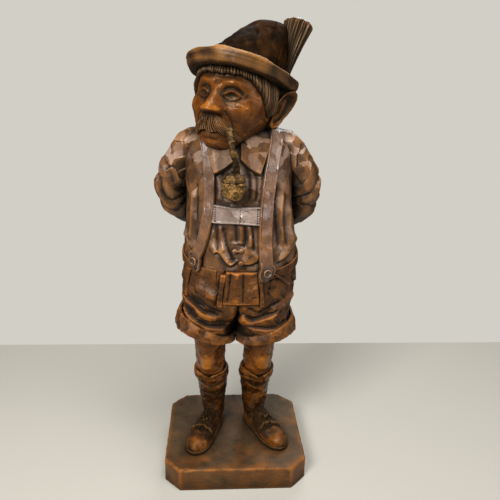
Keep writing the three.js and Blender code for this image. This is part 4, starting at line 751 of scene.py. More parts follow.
def folded(points, folds):
    # folds drawn in degrees round the trunk, from the front towards +X, and height
    midX, midY, half, front, back = readRows(trunk["rows"], points[..., 2])
    x = (points[..., 0] - midX) / half
    y = (points[..., 1] - midY) / np.where(points[..., 1] < 0, front, back)
    lines = [(kind, w, h, [(a * degreeMm, z) for a, z in line]) for kind, w, h, line in folds]
    return drawFolds(np.degrees(np.arctan2(x, -y)) * degreeMm, points[..., 2], lines)


# breeches: two legs that grow together to the waist and part in a crease

breeches = dict(
    rows=[(146, 31.4, 0, 27.2, 33, 33), (190, 26.4, 0, 27.2, 39, 37)], legMiddle=-1.8, parting=-0.9,
    fork=(160, 198), top=233.5, foldGain=1.3, work=(11, 0.45, 0.07, 0.8, 26), wrap=38,
    count=(150, 240, 50), cuffGrid=(280, 60),  # rows, outer and inner columns; the cuff's round and section
    cuffLow=148.5, cuffLift=dict(right=12.5, left=8), cuffNear=8, cuffFar=dict(right=16, left=15.5),
    cuffThick=4.4, cuffFlare=2.4, cuffWork=(10, 0.45, 0.06, 0.7, 18))
breechFolds = [
    ("lap", 6, 2.6, [(-18, 181), (-40, 188), (-62, 196), (-80, 199)]),
    ("groove", 4, 1.6, [(-15, 187), (-27, 190), (-42, 197), (-62, 201)]),
    ("lap", 6, 2.2, [(-12, 168), (-31, 171), (-54, 181), (-72, 186)]),
    ("groove", 3, 1.2, [(-12, 176), (-34, 178), (-56, 187)]),
    ("ridge", 5, 1.6, [(-10, 196), (-28, 205), (-52, 214)]),
    ("lap", 6, 2.8, [(46, 188), (22, 180), (13, 178), (2, 187)]),
    ("groove", 4, 1.8, [(4, 197), (17, 188), (28, 191), (48, 198)]),
    ("ridge", 4, 1.8, [(30, 186), (52, 193), (74, 200)]),
    ("lap", 5, 1.8, [(58, 172), (34, 168), (8, 172)]),
    ("groove", 3.5, 1.4, [(-17, 233), (-19.5, 219), (-23, 201), (-27, 192)]),
    ("groove", 3.5, 1.2, [(27, 231), (28, 216), (29, 203)]),
    ("lap", 4, 0.8, [(58, 222), (76, 210), (96, 204)]),
    ("ridge", 4, 0.8, [(-70, 222), (-88, 212), (-108, 206)]),
    ("ridge", 5, 1.8, [(150, 176), (165, 184), (178, 196)]),
    ("lap", 5, 1.8, [(-120, 178), (-145, 182), (-172, 194)]),
    ("ridge", 5, 1.6, [(120, 186), (140, 196), (160, 204)]),
    ("groove", 4, 1.5, [(-110, 196), (-135, 200), (-165, 210)]),
]


def legRing(sideSign, angle, z):
    # a trouser leg's section; the angle starts in front and goes outwards
    midX, midY, half, front, back = readRows(breeches["rows"], z)
    power = 2 / trunk["full"]
    depth = np.where(np.cos(angle) > 0, front, back)
    inner = np.maximum(half, midX + 0.5)  # the inner side reaches past the parting
    half = np.where(np.sin(angle) < 0, inner, half)
    middle = breeches["legMiddle"] * (1 - ease(150, 195, z))
    x = middle + sideSign * (midX + half * bend(np.sin(angle), power))
    return np.stack([x, -depth * bend(np.cos(angle), power), z + 0 * angle], -1)


def hemHeight(hand, angle):
    # the hem rises from the fork to the outer side
    return breeches["cuffLow"] + breeches["cuffLift"][hand] * ease(-0.9, 0.9, np.sin(angle))


def breechHalf(hand, sideSign, seed):
    # below, the leg's section; above, half of the trunk's section closed along the parting; blended by height
    b, wrap = breeches, np.radians(breeches["wrap"])
    rows, outer, inner = b["count"]
    legAngle = np.r_[np.linspace(-wrap, np.pi + wrap, outer),
                     np.linspace(np.pi + wrap, 2 * np.pi - wrap, inner + 2)[1:-1]]
    hem = hemHeight(hand, legAngle) + 1.0
    z = hem + (b["top"] - hem) * steps(rows)
    halfTurn, upper = np.linspace(0, np.pi, outer), np.maximum(z[:, :outer], trunk["rows"][0][0])
    outside = onForm(trunk, sideSign * halfTurn + 0 * upper, upper)
    shift = readRows(trunk["rows"], upper)[0] - b["parting"] + 0.5 * sideSign
    outside[..., 0] -= shift * (1 - np.sin(halfTurn))
    back, front = outside[:, -1:], outside[:, :1]
    seat = np.concatenate([outside, back + (front - back) * steps(inner + 2)[1:-1]], 1)
    seat[..., 2] = z
    mix = (1 - ease(*b["fork"], z))[..., None]
    grid = faceOut(seat * (1 - mix) + legRing(sideSign, legAngle + 0 * z, z) * mix)
    near = np.abs(grid[..., 0] - b["parting"])
    crease = np.exp(-near / 2.4) * np.where(grid[..., 1] > 0, 1, 1 - ease(200, 212, grid[..., 2]))
    grid[..., 1] *= 1 - 0.1 * crease
    rise = b["foldGain"] * folded(grid, breechFolds)
    # painted shade: the crease is also darkened along the parting through the marks
    return carve(grid, seed, b["work"], rise, ease(0.5, 5, near)), -crease


def turnUpGrid(hand, sideSign, seed):
    # a band round the leg's hem: angle round, section t; shallow at the fork, deep and high at the outer side
    b = breeches
    angle, t = roundGrid(*b["cuffGrid"])
    up, out = bend(np.sin(t), 0.75), bend(np.cos(t), 0.6)
    deep = b["cuffNear"] + (b["cuffFar"][hand] - b["cuffNear"]) * ease(-0.9, 0.9, np.sin(angle))
    grid = legRing(sideSign, angle, hemHeight(hand, angle) + deep * (0.5 + 0.5 * up))
    way = unit(np.stack([sideSign * np.sin(angle), -np.cos(angle), 0 * angle], -1))
    push = b["cuffThick"] * (0.5 + 0.5 * out) + b["cuffFlare"] * (0.5 - 0.5 * up) - 0.4
    push = push + 0.5 * np.sin(3 * angle + seed) * (0.5 - 0.5 * up)
    grid = grid + way * push[..., None]
    middle = b["legMiddle"] + sideSign * 0.2
    grid[..., 0] = np.where(sideSign * (grid[..., 0] - middle) < 0, middle, grid[..., 0])
    grid = faceOut(grid, True)
    shown = ease(0.2, 3, np.abs(grid[..., 0] - middle))
    return carve(grid, seed, b["cuffWork"], 0.0, shown, True), -0.12


makePiece("breeches_seat", "breeches", "breeches", breechHalf("right", -1, 31), breechHalf("left", 1, 32))
for hand, sideSign, seed in (("right", -1, 33), ("left", 1, 34)):
    cuff = turnUpGrid(hand, sideSign, seed)
    makePiece(hand + "_turn_up", hand + "_trouser_cuff", "breeches", cuff, ring=True)


# shirt: the upper trunk in hanging pleats, with the tails tucked over the waist

shirt = dict(low=232.3, high=361.6, rows=200, cols=360, seed=41,
             work=(11, 0.3, 0.03, 0.5, 22, (1.2, 1.2, 0.6)))  # the facets are drawn out upwards
shirtFolds = [
    ("groove", 3, 2.2, [(-26, 278), (-25, 264), (-24, 250)]),
    ("groove", 3, 2.4, [(-19, 278), (-16, 260), (-11, 246), (-7, 242)]),
    ("groove", 3, 2.2, [(-6, 279), (-6, 268), (-6, 259)]),
    ("groove", 3, 2.2, [(3, 279), (4, 263), (1, 254)]),
    ("groove", 3, 2.2, [(10, 279), (11, 264), (11, 250)]),
    ("ridge", 2.6, 1.6, [(-22, 277), (-20, 262), (-17, 250)]),
    ("ridge", 2.6, 1.6, [(-1, 277), (-1, 266), (-2, 257)]),
    ("lap", 4, 2.4, [(-30, 247), (-23, 250), (-16, 241), (-11, 238), (-5, 243)]),
    ("lap", 4, 2.2, [(-3, 240), (7, 239.5), (14, 243), (17, 250)]),
    ("ridge", 2.6, 1.6, [(7, 277), (8, 265), (7, 254)]),
    ("groove", 4.2, 2.7, [(41, 314), (36, 283), (38, 250)]),
    ("groove", 4.2, 2.7, [(56, 305), (48, 272), (50, 250)]),
    ("ridge", 4.0, 2.2, [(49, 304), (42, 278), (44, 252)]),
    ("ridge", 4.0, 2.2, [(62, 290), (58, 271), (60, 252)]),
    ("lap", 4, 2.0, [(31, 238), (47, 244), (66, 252), (80, 255)]),
    ("ridge", 4.0, 2.2, [(-55, 308), (-59, 279), (-60, 254)]),
    ("groove", 4.2, 2.7, [(-64, 305), (-65, 278), (-69, 252)]),
    ("groove", 4.2, 2.7, [(-50, 315), (-51, 289), (-49, 251)]),
    ("lap", 4, 2.0, [(-84, 258), (-68, 254), (-50, 246), (-42, 242)]),
    ("groove", 3.5, 1.6, [(-76, 300), (-80, 276), (-84, 254)]),
    ("groove", 3.5, 1.6, [(76, 298), (80, 274), (86, 252)]),
    ("groove", 2.4, 1.4, [(-19, 324), (-17, 310), (-19, 295)]),
    ("groove", 2.4, 1.4, [(7, 328), (9, 312), (7, 296)]),
    ("ridge", 2.6, 1.5, [(11, 326), (13, 311), (11, 296)]),
    ("groove", 2.4, 1.3, [(15, 328), (17, 312), (15, 295)]),
    ("ridge", 2.6, 1.3, [(-23, 320), (-22, 308), (-23, 295)]),
    ("ridge", 2.4, 1.0, [(19, 322), (20, 308), (19, 296)]),
    ("groove", 2.4, 1.0, [(-8, 300), (-7, 297), (-8, 294)]),
    ("groove", 4, 1.7, [(120, 330), (126, 296), (122, 262)]),
    ("groove", 4, 1.7, [(-120, 330), (-126, 296), (-122, 262)]),
    ("ridge", 5, 1.5, [(150, 336), (152, 300), (148, 262)]),
    ("ridge", 5, 1.5, [(-150, 336), (-154, 300), (-150, 262)]),
    ("groove", 4, 1.4, [(168, 330), (171, 300), (168, 268)]),
    ("groove", 4, 1.4, [(-168, 330), (-171, 300), (-168, 268)]),
]
shirtGrid = formGrid(trunk, shirt["low"], shirt["high"], shirt["rows"], shirt["cols"])[0]
shirtSkin = carve(shirtGrid, shirt["seed"], shirt["work"], folded(shirtGrid, shirtFolds))
makePiece("shirt_trunk", "shirt_body", "shirt", (shirtSkin, 0))


# sleeves: faceted at the shoulder, bunched down to the elbow, drawn back to the wrist

sleeve = dict(
    right=dict(radii=[13.5, 15.2, 17.0, 16.6, 15.2, 11.5], bend=(-65.0, 18, 297), fore=(-54.2, 34.75, 275)),
    left=dict(radii=[14.5, 16.0, 17.0, 16.6, 16.0, 11.8], bend=(64.5, 18, 296), fore=(57.0, 34, 270.5)),
    elbow=0.56, pitch=0.165, foldHeight=2.7, rows=230, cols=160, shoulderCuts=(13, 0.7), armCuts=(11, 0.4),
    swell=0.6, swellSize=22)


def sleevePath(sideSign, arm):
    # shoulder, upper arm, the elbow's bend, forearm and wrist
    return [(-2.5 + sideSign * 34, 3, 344), (-2.5 + sideSign * 46, 4, 339.5), (sideSign * 58.6 - 0.9, 7, 319),
            arm["bend"], arm["fore"], (sideSign * 25, 51.5, 262)]


def sleeveGrid(sideSign, arm, seed):
    # round sections along the arm; bunched folds are bulges with sharp creases that slant round the arm
    u, a = alongAround(sleeve["rows"], sleeve["cols"])
    path = alongPath(sleevePath(sideSign, arm), sleeve["rows"])
    radius = spline(np.linspace(0, 1, 6), arm["radii"], u) * (1 - 0.2 * (1 - softEdge(1 - u, 0.05)))
    grid = faceOut(sweep(path, np.array([sideSign * 0.32, 0.84, 0.42]), oval(radius, a)))
    outer = 0.5 + 0.5 * sideSign * np.cos(a)
    fan = 0.34 + 0.66 * outer
    warp = 0.16 * np.sin(2 * a + seed) + 0.1 * np.sin(3 * a - seed) + 0.3 * lumps(grid, 38, seed + 3)
    bunch = np.abs(np.sin(np.pi * ((u - sleeve["elbow"]) / (sleeve["pitch"] * fan) + warp))) ** 0.8 - 0.65
    window = ease(0.22, 0.42, u) * ease(0.0, 0.2, 1 - u) * fan * (1 + 0.45 * lumps(grid, 30, seed + 4))
    shoulder = 1 - ease(0.3, 0.42, u)
    facets = toolCuts(grid, *sleeve["shoulderCuts"], seed, 0.08) * shoulder
    facets = facets + toolCuts(grid, *sleeve["armCuts"], seed, 0.06) * (1 - shoulder)
    swell = sleeve["swell"] * lumps(grid, sleeve["swellSize"], seed)
    return lift(grid, sleeve["foldHeight"] * bunch * window + facets + swell), 0


for hand, sideSign, seed in (("right", -1, 51), ("left", 1, 52)):
    makePiece(hand + "_shirt_sleeve", hand + "_sleeve", "shirt", sleeveGrid(sideSign, sleeve[hand], seed))


# waistband, drop front, its welts and the pocket welts

waist = dict(front=227, back=246, height=9, thick=1.3, openFrom=24, openTo=-22, rows=300)
flap = dict(middle=1.5, top=232.5, bottom=198.5, halfTop=14.5, halfBottom=17.2, thick=2.6, cuts=(10, 0.3, 61),
            weltHalf=dict(right=2.6, left=2.1), weltGap=2.4, weltLean=2.7, weltLong=34, weltThick=3.2)
pocket = dict(right=[(-51.5, 197), (-46.5, 229)], left=[(47, 213.5), (30.5, 229)], half=2.2, thick=2.4,
              bow=1.5)
flapFolds = [
    ("groove", 2.2, 1.5, [(-8, 234), (-9.5, 216), (-11.5, 197)]),
    ("groove", 2.2, 1.5, [(3, 234), (3, 216), (3, 197)]),
    ("groove", 2.0, 1.1, [(-13.5, 234), (-15, 216), (-17, 197)]),
    ("ridge", 3, 0.9, [(-3, 233), (-4, 216), (-4.5, 198)]),
    ("ridge", 3.5, 0.9, [(6, 214), (11, 213), (17, 214)]),
    ("groove", 2.5, 0.7, [(-8, 209), (-3, 208), (2, 209)]),
    ("groove", 2.5, 0.7, [(5, 207), (11, 206), (17, 207)]),
    ("ridge", 2.5, 0.9, [(-14, 231), (0, 230.5), (15, 231)]),
]


def waistbandGrid(seed):
    # a band round the trunk between two angles, low in front and high behind
    s, top = slab(40, 10)
    degrees = np.linspace(waist["openFrom"], 360 + waist["openTo"], waist["rows"])[:, None]
    angle = np.radians(degrees)
    middle = waist["front"] + (waist["back"] - waist["front"]) * (1 - np.cos(angle)) / 2
    z = middle + s * waist["height"] / 2
    rim = softEdge((1 - np.abs(s)) * waist["height"] / 2, 1.0)
    rim = rim * softEdge((degrees - degrees[0]) * degreeMm, 1.5)
    high = 0.3 + top * waist["thick"] * rim * softEdge((degrees[-1] - degrees) * degreeMm, 1.5)
    grid = offForm(trunk, angle + 0 * z, z, 0.0, high)
    return grid + 0.2 * lumps(grid, 8, seed)[..., None] * top[None, :, None], 0


def frontPatch(u, nTop, middle, half, ends, thick, cuts, folds=(), rim=1.3, floor=0.3):
    # a strip laid on the trunk's front: u runs up it between its ends, s across it by its half width
    s, top = slab(nTop)
    low, high = ends
    x, z, run = middle + s * half, low + (high - low) * u + 0 * s, high - low
    edge = softEdge((1 - np.abs(s)) * half, rim) * softEdge(u * run, rim) * softEdge((1 - u) * run, rim)
    lifted = floor + top * edge * thick
    pitch, depth, seed = cuts
    work = drawFolds(x, z, folds) + toolCuts(layOn(x, z, lifted), pitch, depth, seed, 0.05)
    return layOn(x, z, lifted + top * edge * work)


def flapGrid(f):
    # a panel that widens downwards, pleated
    u, ends = steps(130), (f["bottom"], f["top"])
    half = f["halfBottom"] + (f["halfTop"] - f["halfBottom"]) * u
    return frontPatch(u, 110, f["middle"], half, ends, f["thick"], f["cuts"], flapFolds), 0.08


def flapWeltGrid(f, hand, sideSign, seed):
    # a roll along the panel's side, a little wavy
    u, foot = steps(90), f["bottom"] - 3
    aside = f["halfBottom"] + f["weltGap"] - f["weltLean"] * u + 0.4 * np.sin(5 * u)
    half = f["weltHalf"][hand] + 0.25 * np.sin(9 * u)
    return frontPatch(u, 40, f["middle"] + sideSign * aside, half, (foot, foot + f["weltLong"]),
                      f["weltThick"], (7, 0.25, seed)), 0


def pocketWeltGrid(p, hand, seed):
    # a bowed roll between two points
    (lowX, lowZ), (highX, highZ) = p[hand]
    u = steps(100)
    middle = lowX + (highX - lowX) * u + p["bow"] * np.sign(lowX) * np.sin(np.pi * u)
    return frontPatch(u, 40, middle, p["half"], (lowZ, highZ), p["thick"], (7, 0.25, seed)), 0


makePiece("waist_band", "waistband", "breeches", waistbandGrid(62))
makePiece("drop_flap", "drop_front", "breeches", flapGrid(flap))
for hand, sideSign, seed in (("right", -1, 63), ("left", 1, 64)):
    makePiece(hand + "_flap_edge", hand + "_flap_welt", "breeches", flapWeltGrid(flap, hand, sideSign, seed))
    makePiece(hand + "_pocket_edge", hand + "_pocket_welt", "breeches", pocketWeltGrid(pocket, hand, seed))


# braces over the shoulders, joined on the chest, with buttons on their tabs

brace = dict(
    right=dict(foot=-39.5, footZ=239, waist=-27.5, top=-37, width=10.8),
    left=dict(foot=23.5, footZ=231.5, waist=22.5, top=35, width=13),
    topZ=369, thick=3.4, tab=8.4, strapLow=276.3, strapHigh=292.8, turnZ=290, backDepth=41.0, under=0.4,
    rows=320, farthest=120.0, cuts=(10, 0.3), overBand=(246, 256), brownTo=(258, 288),
    strapFrom=-27.5, strapLong=46, stitchX=(-22.6, 14.2), stitchZ=(-6, -4, -2, 0, 2, 4, 6))


def trunkLevel(x, y, z):
    # under 1 inside the trunk, over 1 outside it
    midX, midY, half, front, back = readRows(trunk["rows"], z)
    depth = np.where(y < midY, front, back)
    level = np.abs((x - midX) / half) ** trunk["full"] + np.abs((y - midY) / depth) ** trunk["full"]
    return level + np.maximum(z - trunk["rows"][-1][0], 0)


def braceSeat(x, angle):
    # from the trunk's middle line out to its skin in the plane of x, found by halving; front over the top
    low = np.zeros(np.broadcast(x, angle).shape)
    high = low + brace["farthest"]
    for step in range(24):
        reach = (low + high) / 2
        inside = trunkLevel(x, -reach * np.cos(angle), brace["turnZ"] + reach * np.sin(angle)) < 1
        low, high = np.where(inside, reach, low), np.where(inside, high, reach)
    return np.stack([x + 0 * reach, -reach * np.cos(angle), brace["turnZ"] + reach * np.sin(angle)], -1)


def braceMiddle(b, z):
    # a bow through the foot, the narrowest place and the top
    t = np.clip((z - b["footZ"]) / (brace["topZ"] - b["footZ"]), 0, 1)
    bow = 2 * b["waist"] - (b["foot"] + b["top"]) / 2
    return (1 - t) ** 2 * b["foot"] + 2 * t * (1 - t) * bow + t * t * b["top"]


def braceGrid(b, seed):
    # a strip over the shoulder: rows go round from the front foot to the back foot, s across
    s, top = slab(44, 12)
    low = b["footZ"] - brace["tab"] + 0.3
    depth = -frontOf(trunk, np.array(float(b["foot"])), np.array(low))
    low = low - brace["turnZ"]
    ends = np.arctan2(low, depth), np.pi - np.arctan2(low, brace["backDepth"])
    angle = np.linspace(*ends, brace["rows"])[:, None]
    middle = np.full(angle.shape, float(b["top"]))
    for step in range(4):
        z = braceSeat(middle, angle)[..., 2]
        middle = braceMiddle(b, z)
    wide = b["width"] / 2
    tabHalf = np.sqrt(np.clip(brace["tab"] ** 2 - (z - b["footZ"]) ** 2, 1.5, None))
    half = np.where(z < b["footZ"] + 5, tabHalf, 0)
    half = np.maximum(half, np.where(z > b["footZ"], wide, 0.8))
    half = np.where(angle > np.pi / 2, np.minimum(wide * softEdge(z - z[-1] + 0.3, wide), wide), half)
    aside = (braceSeat(middle + 1, angle) - braceSeat(middle - 1, angle)) / 2
    seat = braceSeat(middle + s * half / np.linalg.norm(aside, axis=-1), angle + 0 * s)
    normal = unit(np.stack([
        trunkLevel(*np.moveaxis(seat + step, -1, 0)) - trunkLevel(*np.moveaxis(seat - step, -1, 0))
        for step in 0.5 * np.eye(3)], -1))
    inset = (1 - np.abs(s)) * half
    over = brace["under"] + 1.8 * (1 - ease(*brace["overBand"], z))
    work = toolCuts(seat, *brace["cuts"], seed, 0.03)
    work = work + 0.7 * hump(inset, 1.4, 0.8) + 0.3 * lumps(seat, 16, seed)
    grid = seat + normal * (over + top * softEdge(inset, 1.2) * (brace["thick"] + work))[..., None]
    brown = 0.8 * (1 - ease(*brace["brownTo"], z)) * (0.7 + 0.5 * lumps(seat, 18, seed + 1))
    tab = 1 - ease(b["footZ"] + 4, b["footZ"] + 10, z)
    return grid, brown * (1 - tab) + tab * (0.9 * hump(inset, 1.2, 0.9) - 0.35)


def chestStrapGrid(seed):
    # a strip across the chest: rows go from brace to brace, s up and down
    s, top = slab(60, 14)
    u = steps(180)
    middleZ = (brace["strapLow"] + brace["strapHigh"]) / 2 + 0.8 - 1.6 * u
    half = (brace["strapHigh"] - brace["strapLow"]) / 2 + 0.5 * np.cos(2 * np.pi * u)
    z = middleZ + s * half
    x = brace["strapFrom"] + brace["strapLong"] * u + 0 * s
    inset = (1 - np.abs(s)) * half
    seam = -0.35 * np.exp(-np.abs(x + 1) / 0.5) + 0.25 * hump(np.abs(x + 1), 1.6, 1.0)
    stitches = sum(-0.8 * hump(np.hypot(x - dx, (z - middleZ) - dz), 0, 0.7)
                   for dx in brace["stitchX"] for dz in brace["stitchZ"])
    seat = layOn(x, z, brace["under"])
    work = 0.8 * hump(inset, 1.3, 0.8) + seam + stitches + toolCuts(seat, *brace["cuts"], seed, 0.03)
    return layOn(x, z, brace["under"] + top * softEdge(inset, 1.2) * (brace["thick"] - 0.9 + work)), 0


def onFront(grid, x, z, height):
    # sets a turned piece on the trunk's front with its axis along the skin's normal
    seat, foot = layOn(float(x), float(z), np.array([height, 0.0]))
    axis = unit(seat - foot)
    side = unit(np.cross(axis, [0, 0, 1.0]))
    up = np.cross(side, axis)
    return seat + grid[..., :1] * side + grid[..., 1:2] * up + grid[..., 2:] * axis, 0


buttonProfile = [(0.4, -0.4), (3.6, -0.4), (4.2, 0.5), (4.0, 1.7), (3.2, 2.3), (2.4, 1.7), (1.6, 1.2),
                 (0.9, 1.1), (0.3, 1.1)]
for hand, seed in (("right", 71), ("left", 72)):
    b = brace[hand]
    makePiece(hand + "_brace_strap", hand + "_brace", "strap", braceGrid(b, seed))
    button = onFront(lathe(buttonProfile, 40, 60), b["foot"], b["footZ"], 5.2)
    makePiece(hand + "_button", hand + "_brace_button", "strap", button)
makePiece("chest_band", "chest_strap", "band", chestStrapGrid(73))

knobProfile = [(0.3, -1.5), (2.0, -1.2), (3.0, 0.2), (2.7, 1.8), (1.6, 2.8), (0.3, 3.1)]
knob = lathe(knobProfile, 30, 40)
bar = knob * np.array([1.1, 0.45, 0.6])  # a flat one across the other two
makePiece("tie_knots", "shirt_tie", "shirt", onFront(knob * 0.8, -5.4, 252.2, 0.6),
          onFront(knob * 0.8, 0.4, 252.6, 0.6), onFront(bar, -2.5, 252, 0.6))
makePiece("stud_knob", "waist_stud", "shirt", onFront(knob * 0.8, 0.5, 240.5, 0.8))


# collar: two wings on the chest

collar = dict(middle=-4, parting=2, notch=332, reach=19.5, point=319, spread=31, top=349, rise=355, thick=3.0,
              roll=3.2, sag=2.0, rim=1.4, under=0.4, long=20, high=22, cuts=(9, 0.2))


def collarGrid(c, sideSign, seed):
    # a four-cornered patch: u goes from the parting outwards, s from the rolled lower edge to the neck
    s, top = slab(70, 16)
    u, v = steps(110), (s + 1) / 2
    inner = np.array([(c["parting"], c["notch"]), (c["parting"], c["rise"])])[..., None, None]
    outer = np.array([(c["reach"], c["point"]), (c["spread"], c["top"])])[..., None, None]
    lower, upper = inner + (outer - inner) * u
    x, z = lower * (1 - v) + upper * v
    x, z = c["middle"] + sideSign * x, z - c["sag"] * np.sin(np.pi * u) * (1 - v)
    edge = softEdge(v * c["high"], c["rim"]) * softEdge((1 - v) * c["high"], c["rim"])
    edge = edge * softEdge(u * c["long"], c["rim"]) * softEdge((1 - u) * c["long"], c["rim"])
    roll = c["roll"] * (1 - v) ** 2 + 0.8 * np.sin(3 * np.pi * u) * (1 - v)
    work = toolCuts(layOn(x, z, c["under"]), *c["cuts"], seed, 0.02)
    return layOn(x, z, c["under"] + roll * 0.8 * edge + top * edge * (c["thick"] + work)), 0


for hand, sideSign, seed in (("right", -1, 81), ("left", 1, 82)):
    makePiece(hand + "_collar_wing", hand + "_collar", "collar", collarGrid(collar, sideSign, seed))


# head frame: turned to the figure's right, tilted and rolled a little; the hat has its own tilted frame in it

headTurn = turned(2, -29) @ turned(0, -7) @ turned(1, 4)
headAt = np.array([-9, -6, 340])
hatTurn = turned(0, -11)
hatAt = np.array([0, 3, 61])


def inHead(points):
    # from the head's frame to the figure's
    return points @ headTurn.T + headAt


def inHat(points):
    # from the hat's frame through the head's
    return inHead(points @ hatTurn.T + hatAt)


# head: a plain carved face on even proportions

head = dict(height=92, half=34.5, eyes=0.48, nose=0.28, mouth=0.18, brow=0.56, chin=0.0, rows=230, cols=330,
            closer=0.62, eyeAside=13.5, eyeHalf=7.0, eyeHigh=4.6, eyeOut=3.2, noseOut=13.0)
skull = dict(full=2.1, brink=0.99, rows=[
    (-3.4, 0, -19.5, 8.5, 10.5, 8.5), (0, 0, -19, 14, 17, 14), (8.3, 0, -10.5, 22.8, 32, 24.8),
    (22, 0, -3.8, 30.4, 39.4, 33), (38.6, 0, 0, 34.5, 41, 36.4), (53.4, 0, 0, 33.5, 39.8, 37.5),
    (67.2, 0, 0, 27.6, 35.3, 31.5), (80, 0, 0, 19.3, 23.8, 21.8), (88.3, 0, 0, 11, 13.1, 12),
    (92, 0, 0, 4.8, 5.7, 5.3)])
faceBells = [  # height, how far aside and wide, which level, how far above it and tall
    (3.0, 12, 9, "brow", 2, 4.5), (-4.2, 13.5, 8, "eyes", -0.5, 5.5), (4.0, 20, 9, "nose", 6, 8),
    (1.6, 25, 7, "eyes", -7, 5), (4.0, 6.5, 3.0, "nose", 4, 3.6), (-2.6, 0, 13, "mouth", -0.5, 1.7),
    (1.4, 0, 11, "chin", 4.5, 5), (-1.8, 0, 12, "mouth", -10.5, 2.2)]
faceLines = [  # drawn on both sides, above a level
    ("ridge", 1.6, 1.9, "eyes", [(23.5, -2.6), (18, 1.4), (12, 2.4), (4.5, -1.8)]),
    ("groove", 1.8, 1.5, "eyes", [(24, 0.8), (18, 5.0), (12, 6.2), (5, 2.8)]),
    ("ridge", 1.4, 0.5, "eyes", [(22, -3.2), (16, -5.2), (10, -4.4), (6, -2)]),
    ("groove", 2.6, 1.2, "nose", [(9, 6), (15, -1), (19, -10)]),
    ("groove", 2.2, 0.6, "eyes", [(8, -7), (14, -10), (21, -9.5)]),
    ("groove", 1.8, 0.8, "brow", [(2.5, 4), (2, 0)])]


def headGrid(seed):
    # the skull's form with brow, lids, nose, cheeks, lips and chin raised on it as bells and drawn lines
    even = np.linspace(-np.pi, np.pi, head["cols"], endpoint=False)
    angle = even - head["closer"] * np.sin(even)  # closer columns on the face
    angle, z = np.meshgrid(angle, np.linspace(-3.2, 91, head["rows"]))
    grid = onForm(skull, angle, z)
    x, face, side = grid[..., 0], 1 - ease(-14, 5, grid[..., 1]), np.abs(grid[..., 0])
    level = {key: head[key] * head["height"] for key in ("eyes", "nose", "mouth", "brow", "chin")}
    eyeZ, noseZ, mouthZ, browZ = (level[key] for key in ("eyes", "nose", "mouth", "brow"))
    rise = sum(high * hump(side, aside, wide) * hump(z, level[key] + above, tall)
               for high, aside, wide, key, above, tall in faceBells)
    ball = 1 - ((side - head["eyeAside"]) / head["eyeHalf"]) ** 2 - ((z - eyeZ) / head["eyeHigh"]) ** 2
    ball = np.clip(ball, 0, 1)
    rise = rise + head["eyeOut"] * np.sqrt(ball) - 0.5 * hump(np.hypot(side - 13.2, z - eyeZ), 0, 1.3)
    bridge = ease(noseZ - 1, noseZ + 3, z) * (1 - ease(browZ - 4, browZ + 4, z))
    slope = 1 - 0.72 * ease(noseZ + 4, browZ, z)
    rise = rise + head["noseOut"] * bridge * slope * hump(side, 0, 4.6 + 1.6 * slope)
    rise = rise + hump(side, 0, 9) * hump(z, mouthZ - 6.6, 2.6) * (1 - 0.2 * hump(side, 0, 1.5))
    lines = [("groove", 2.4, 0.8, [(-16, browZ + 8), (0, browZ + 7), (16, browZ + 8)])]
    for sideSign in (-1, 1):
        lines += [(kind, wide, high, [(sideSign * a, level[key] + b) for a, b in line])
                  for kind, wide, high, key, line in faceLines]
    rise = rise + drawFolds(x, z, lines)
    cuts = toolCuts(grid, 10, 0.35, seed, 0.05) * (1 - 0.85 * ease(0.0, 0.2, ball))
    # painted shade under the moustache, where the chin lies in its shadow, and a darker band round the eyes
    stainAndShade = 0.5 * hump(side, head["eyeAside"], 9) * hump(z, eyeZ + 1, 5.5)
    stainAndShade = stainAndShade + 0.6 * hump(side, 0, 13) * hump(z, mouthZ - 4, 5)
    return inHead(lift(faceOut(grid), face * rise + cuts)), -face * stainAndShade


makePiece("carved_head", "head", "skin", headGrid(91))


# moustache: combed strands that fan out from under the nose and droop at the sides

moustache = dict(root=8.5, reach=(22, 27), drop=12, sideDrop=(9, 10.5), thick=6.6, strands=10.5, cols=420)


def outAndBack(count, under):
    # shares of the way out over the top and back underneath, and 1 on the top
    return (np.r_[np.linspace(0, 1, count), np.linspace(1, 0, under + 2)[1:-1]],
            np.r_[np.ones(count), np.zeros(under)])


def moustacheGrid(m):
    # u goes across the lip, t down a strand and back underneath; each strand bows from its root to its tip
    noseZ = head["nose"] * head["height"]
    u = np.linspace(-1, 1, m["cols"])[:, None]
    t, top = outAndBack(60, 14)
    wave = np.sin(np.pi * m["strands"] * u)
    tip = 1 + 0.02 * np.abs(wave) + 0.05 * np.sin(9 * u + 1) + 0.03 * np.sin(17 * u)
    rootX, rootZ = m["root"] * u, noseZ + 1.5 - 2.2 * u ** 2
    reach, sideDrop = (np.where(u < 0, *m[key]) for key in ("reach", "sideDrop"))
    tipX, tipZ = reach * bend(u, 0.95), noseZ - m["drop"] - sideDrop * np.abs(u) ** 1.7
    x = rootX + (tipX - rootX) * (tip * t) ** 0.97
    z = rootZ + (tipZ - rootZ) * (tip * t) ** 1.06 - 1.2 * hump(u, 0, 0.1) * t
    body = np.sin(np.pi * np.clip(0.1 + 0.84 * t, 0, 1)) ** 0.55 * (1 - 0.35 * np.abs(u) ** 3)
    groove = 2.1 * np.abs(np.sin(np.pi * m["strands"] * (u + 0.012 * np.sin(7 * t + 9 * u)))) ** 0.9 - 1.1
    groove = groove + 0.25 * np.sin(41 * np.pi * u + 3 * t)
    split = 1.4 * hump(u, 0, 0.05)
    high = top * (m["thick"] * body + (groove - split) * ease(0, 0.15, t) * body) - (1 - top) * 1.0
    y = frontOf(skull, x, z) - high * softEdge((1 - np.abs(u)) * 20, 4) - 0.2
    return inHead(np.stack([x, y, z], -1)), top * (0.8 * (groove - 0.2) - 0.4 * ease(0.85, 0.97, t))


makePiece("moustache_fan", "moustache", "beard", moustacheGrid(moustache))


# hair: a band of combed strands under the hat, short in front, pointed before the ears, long at the nape

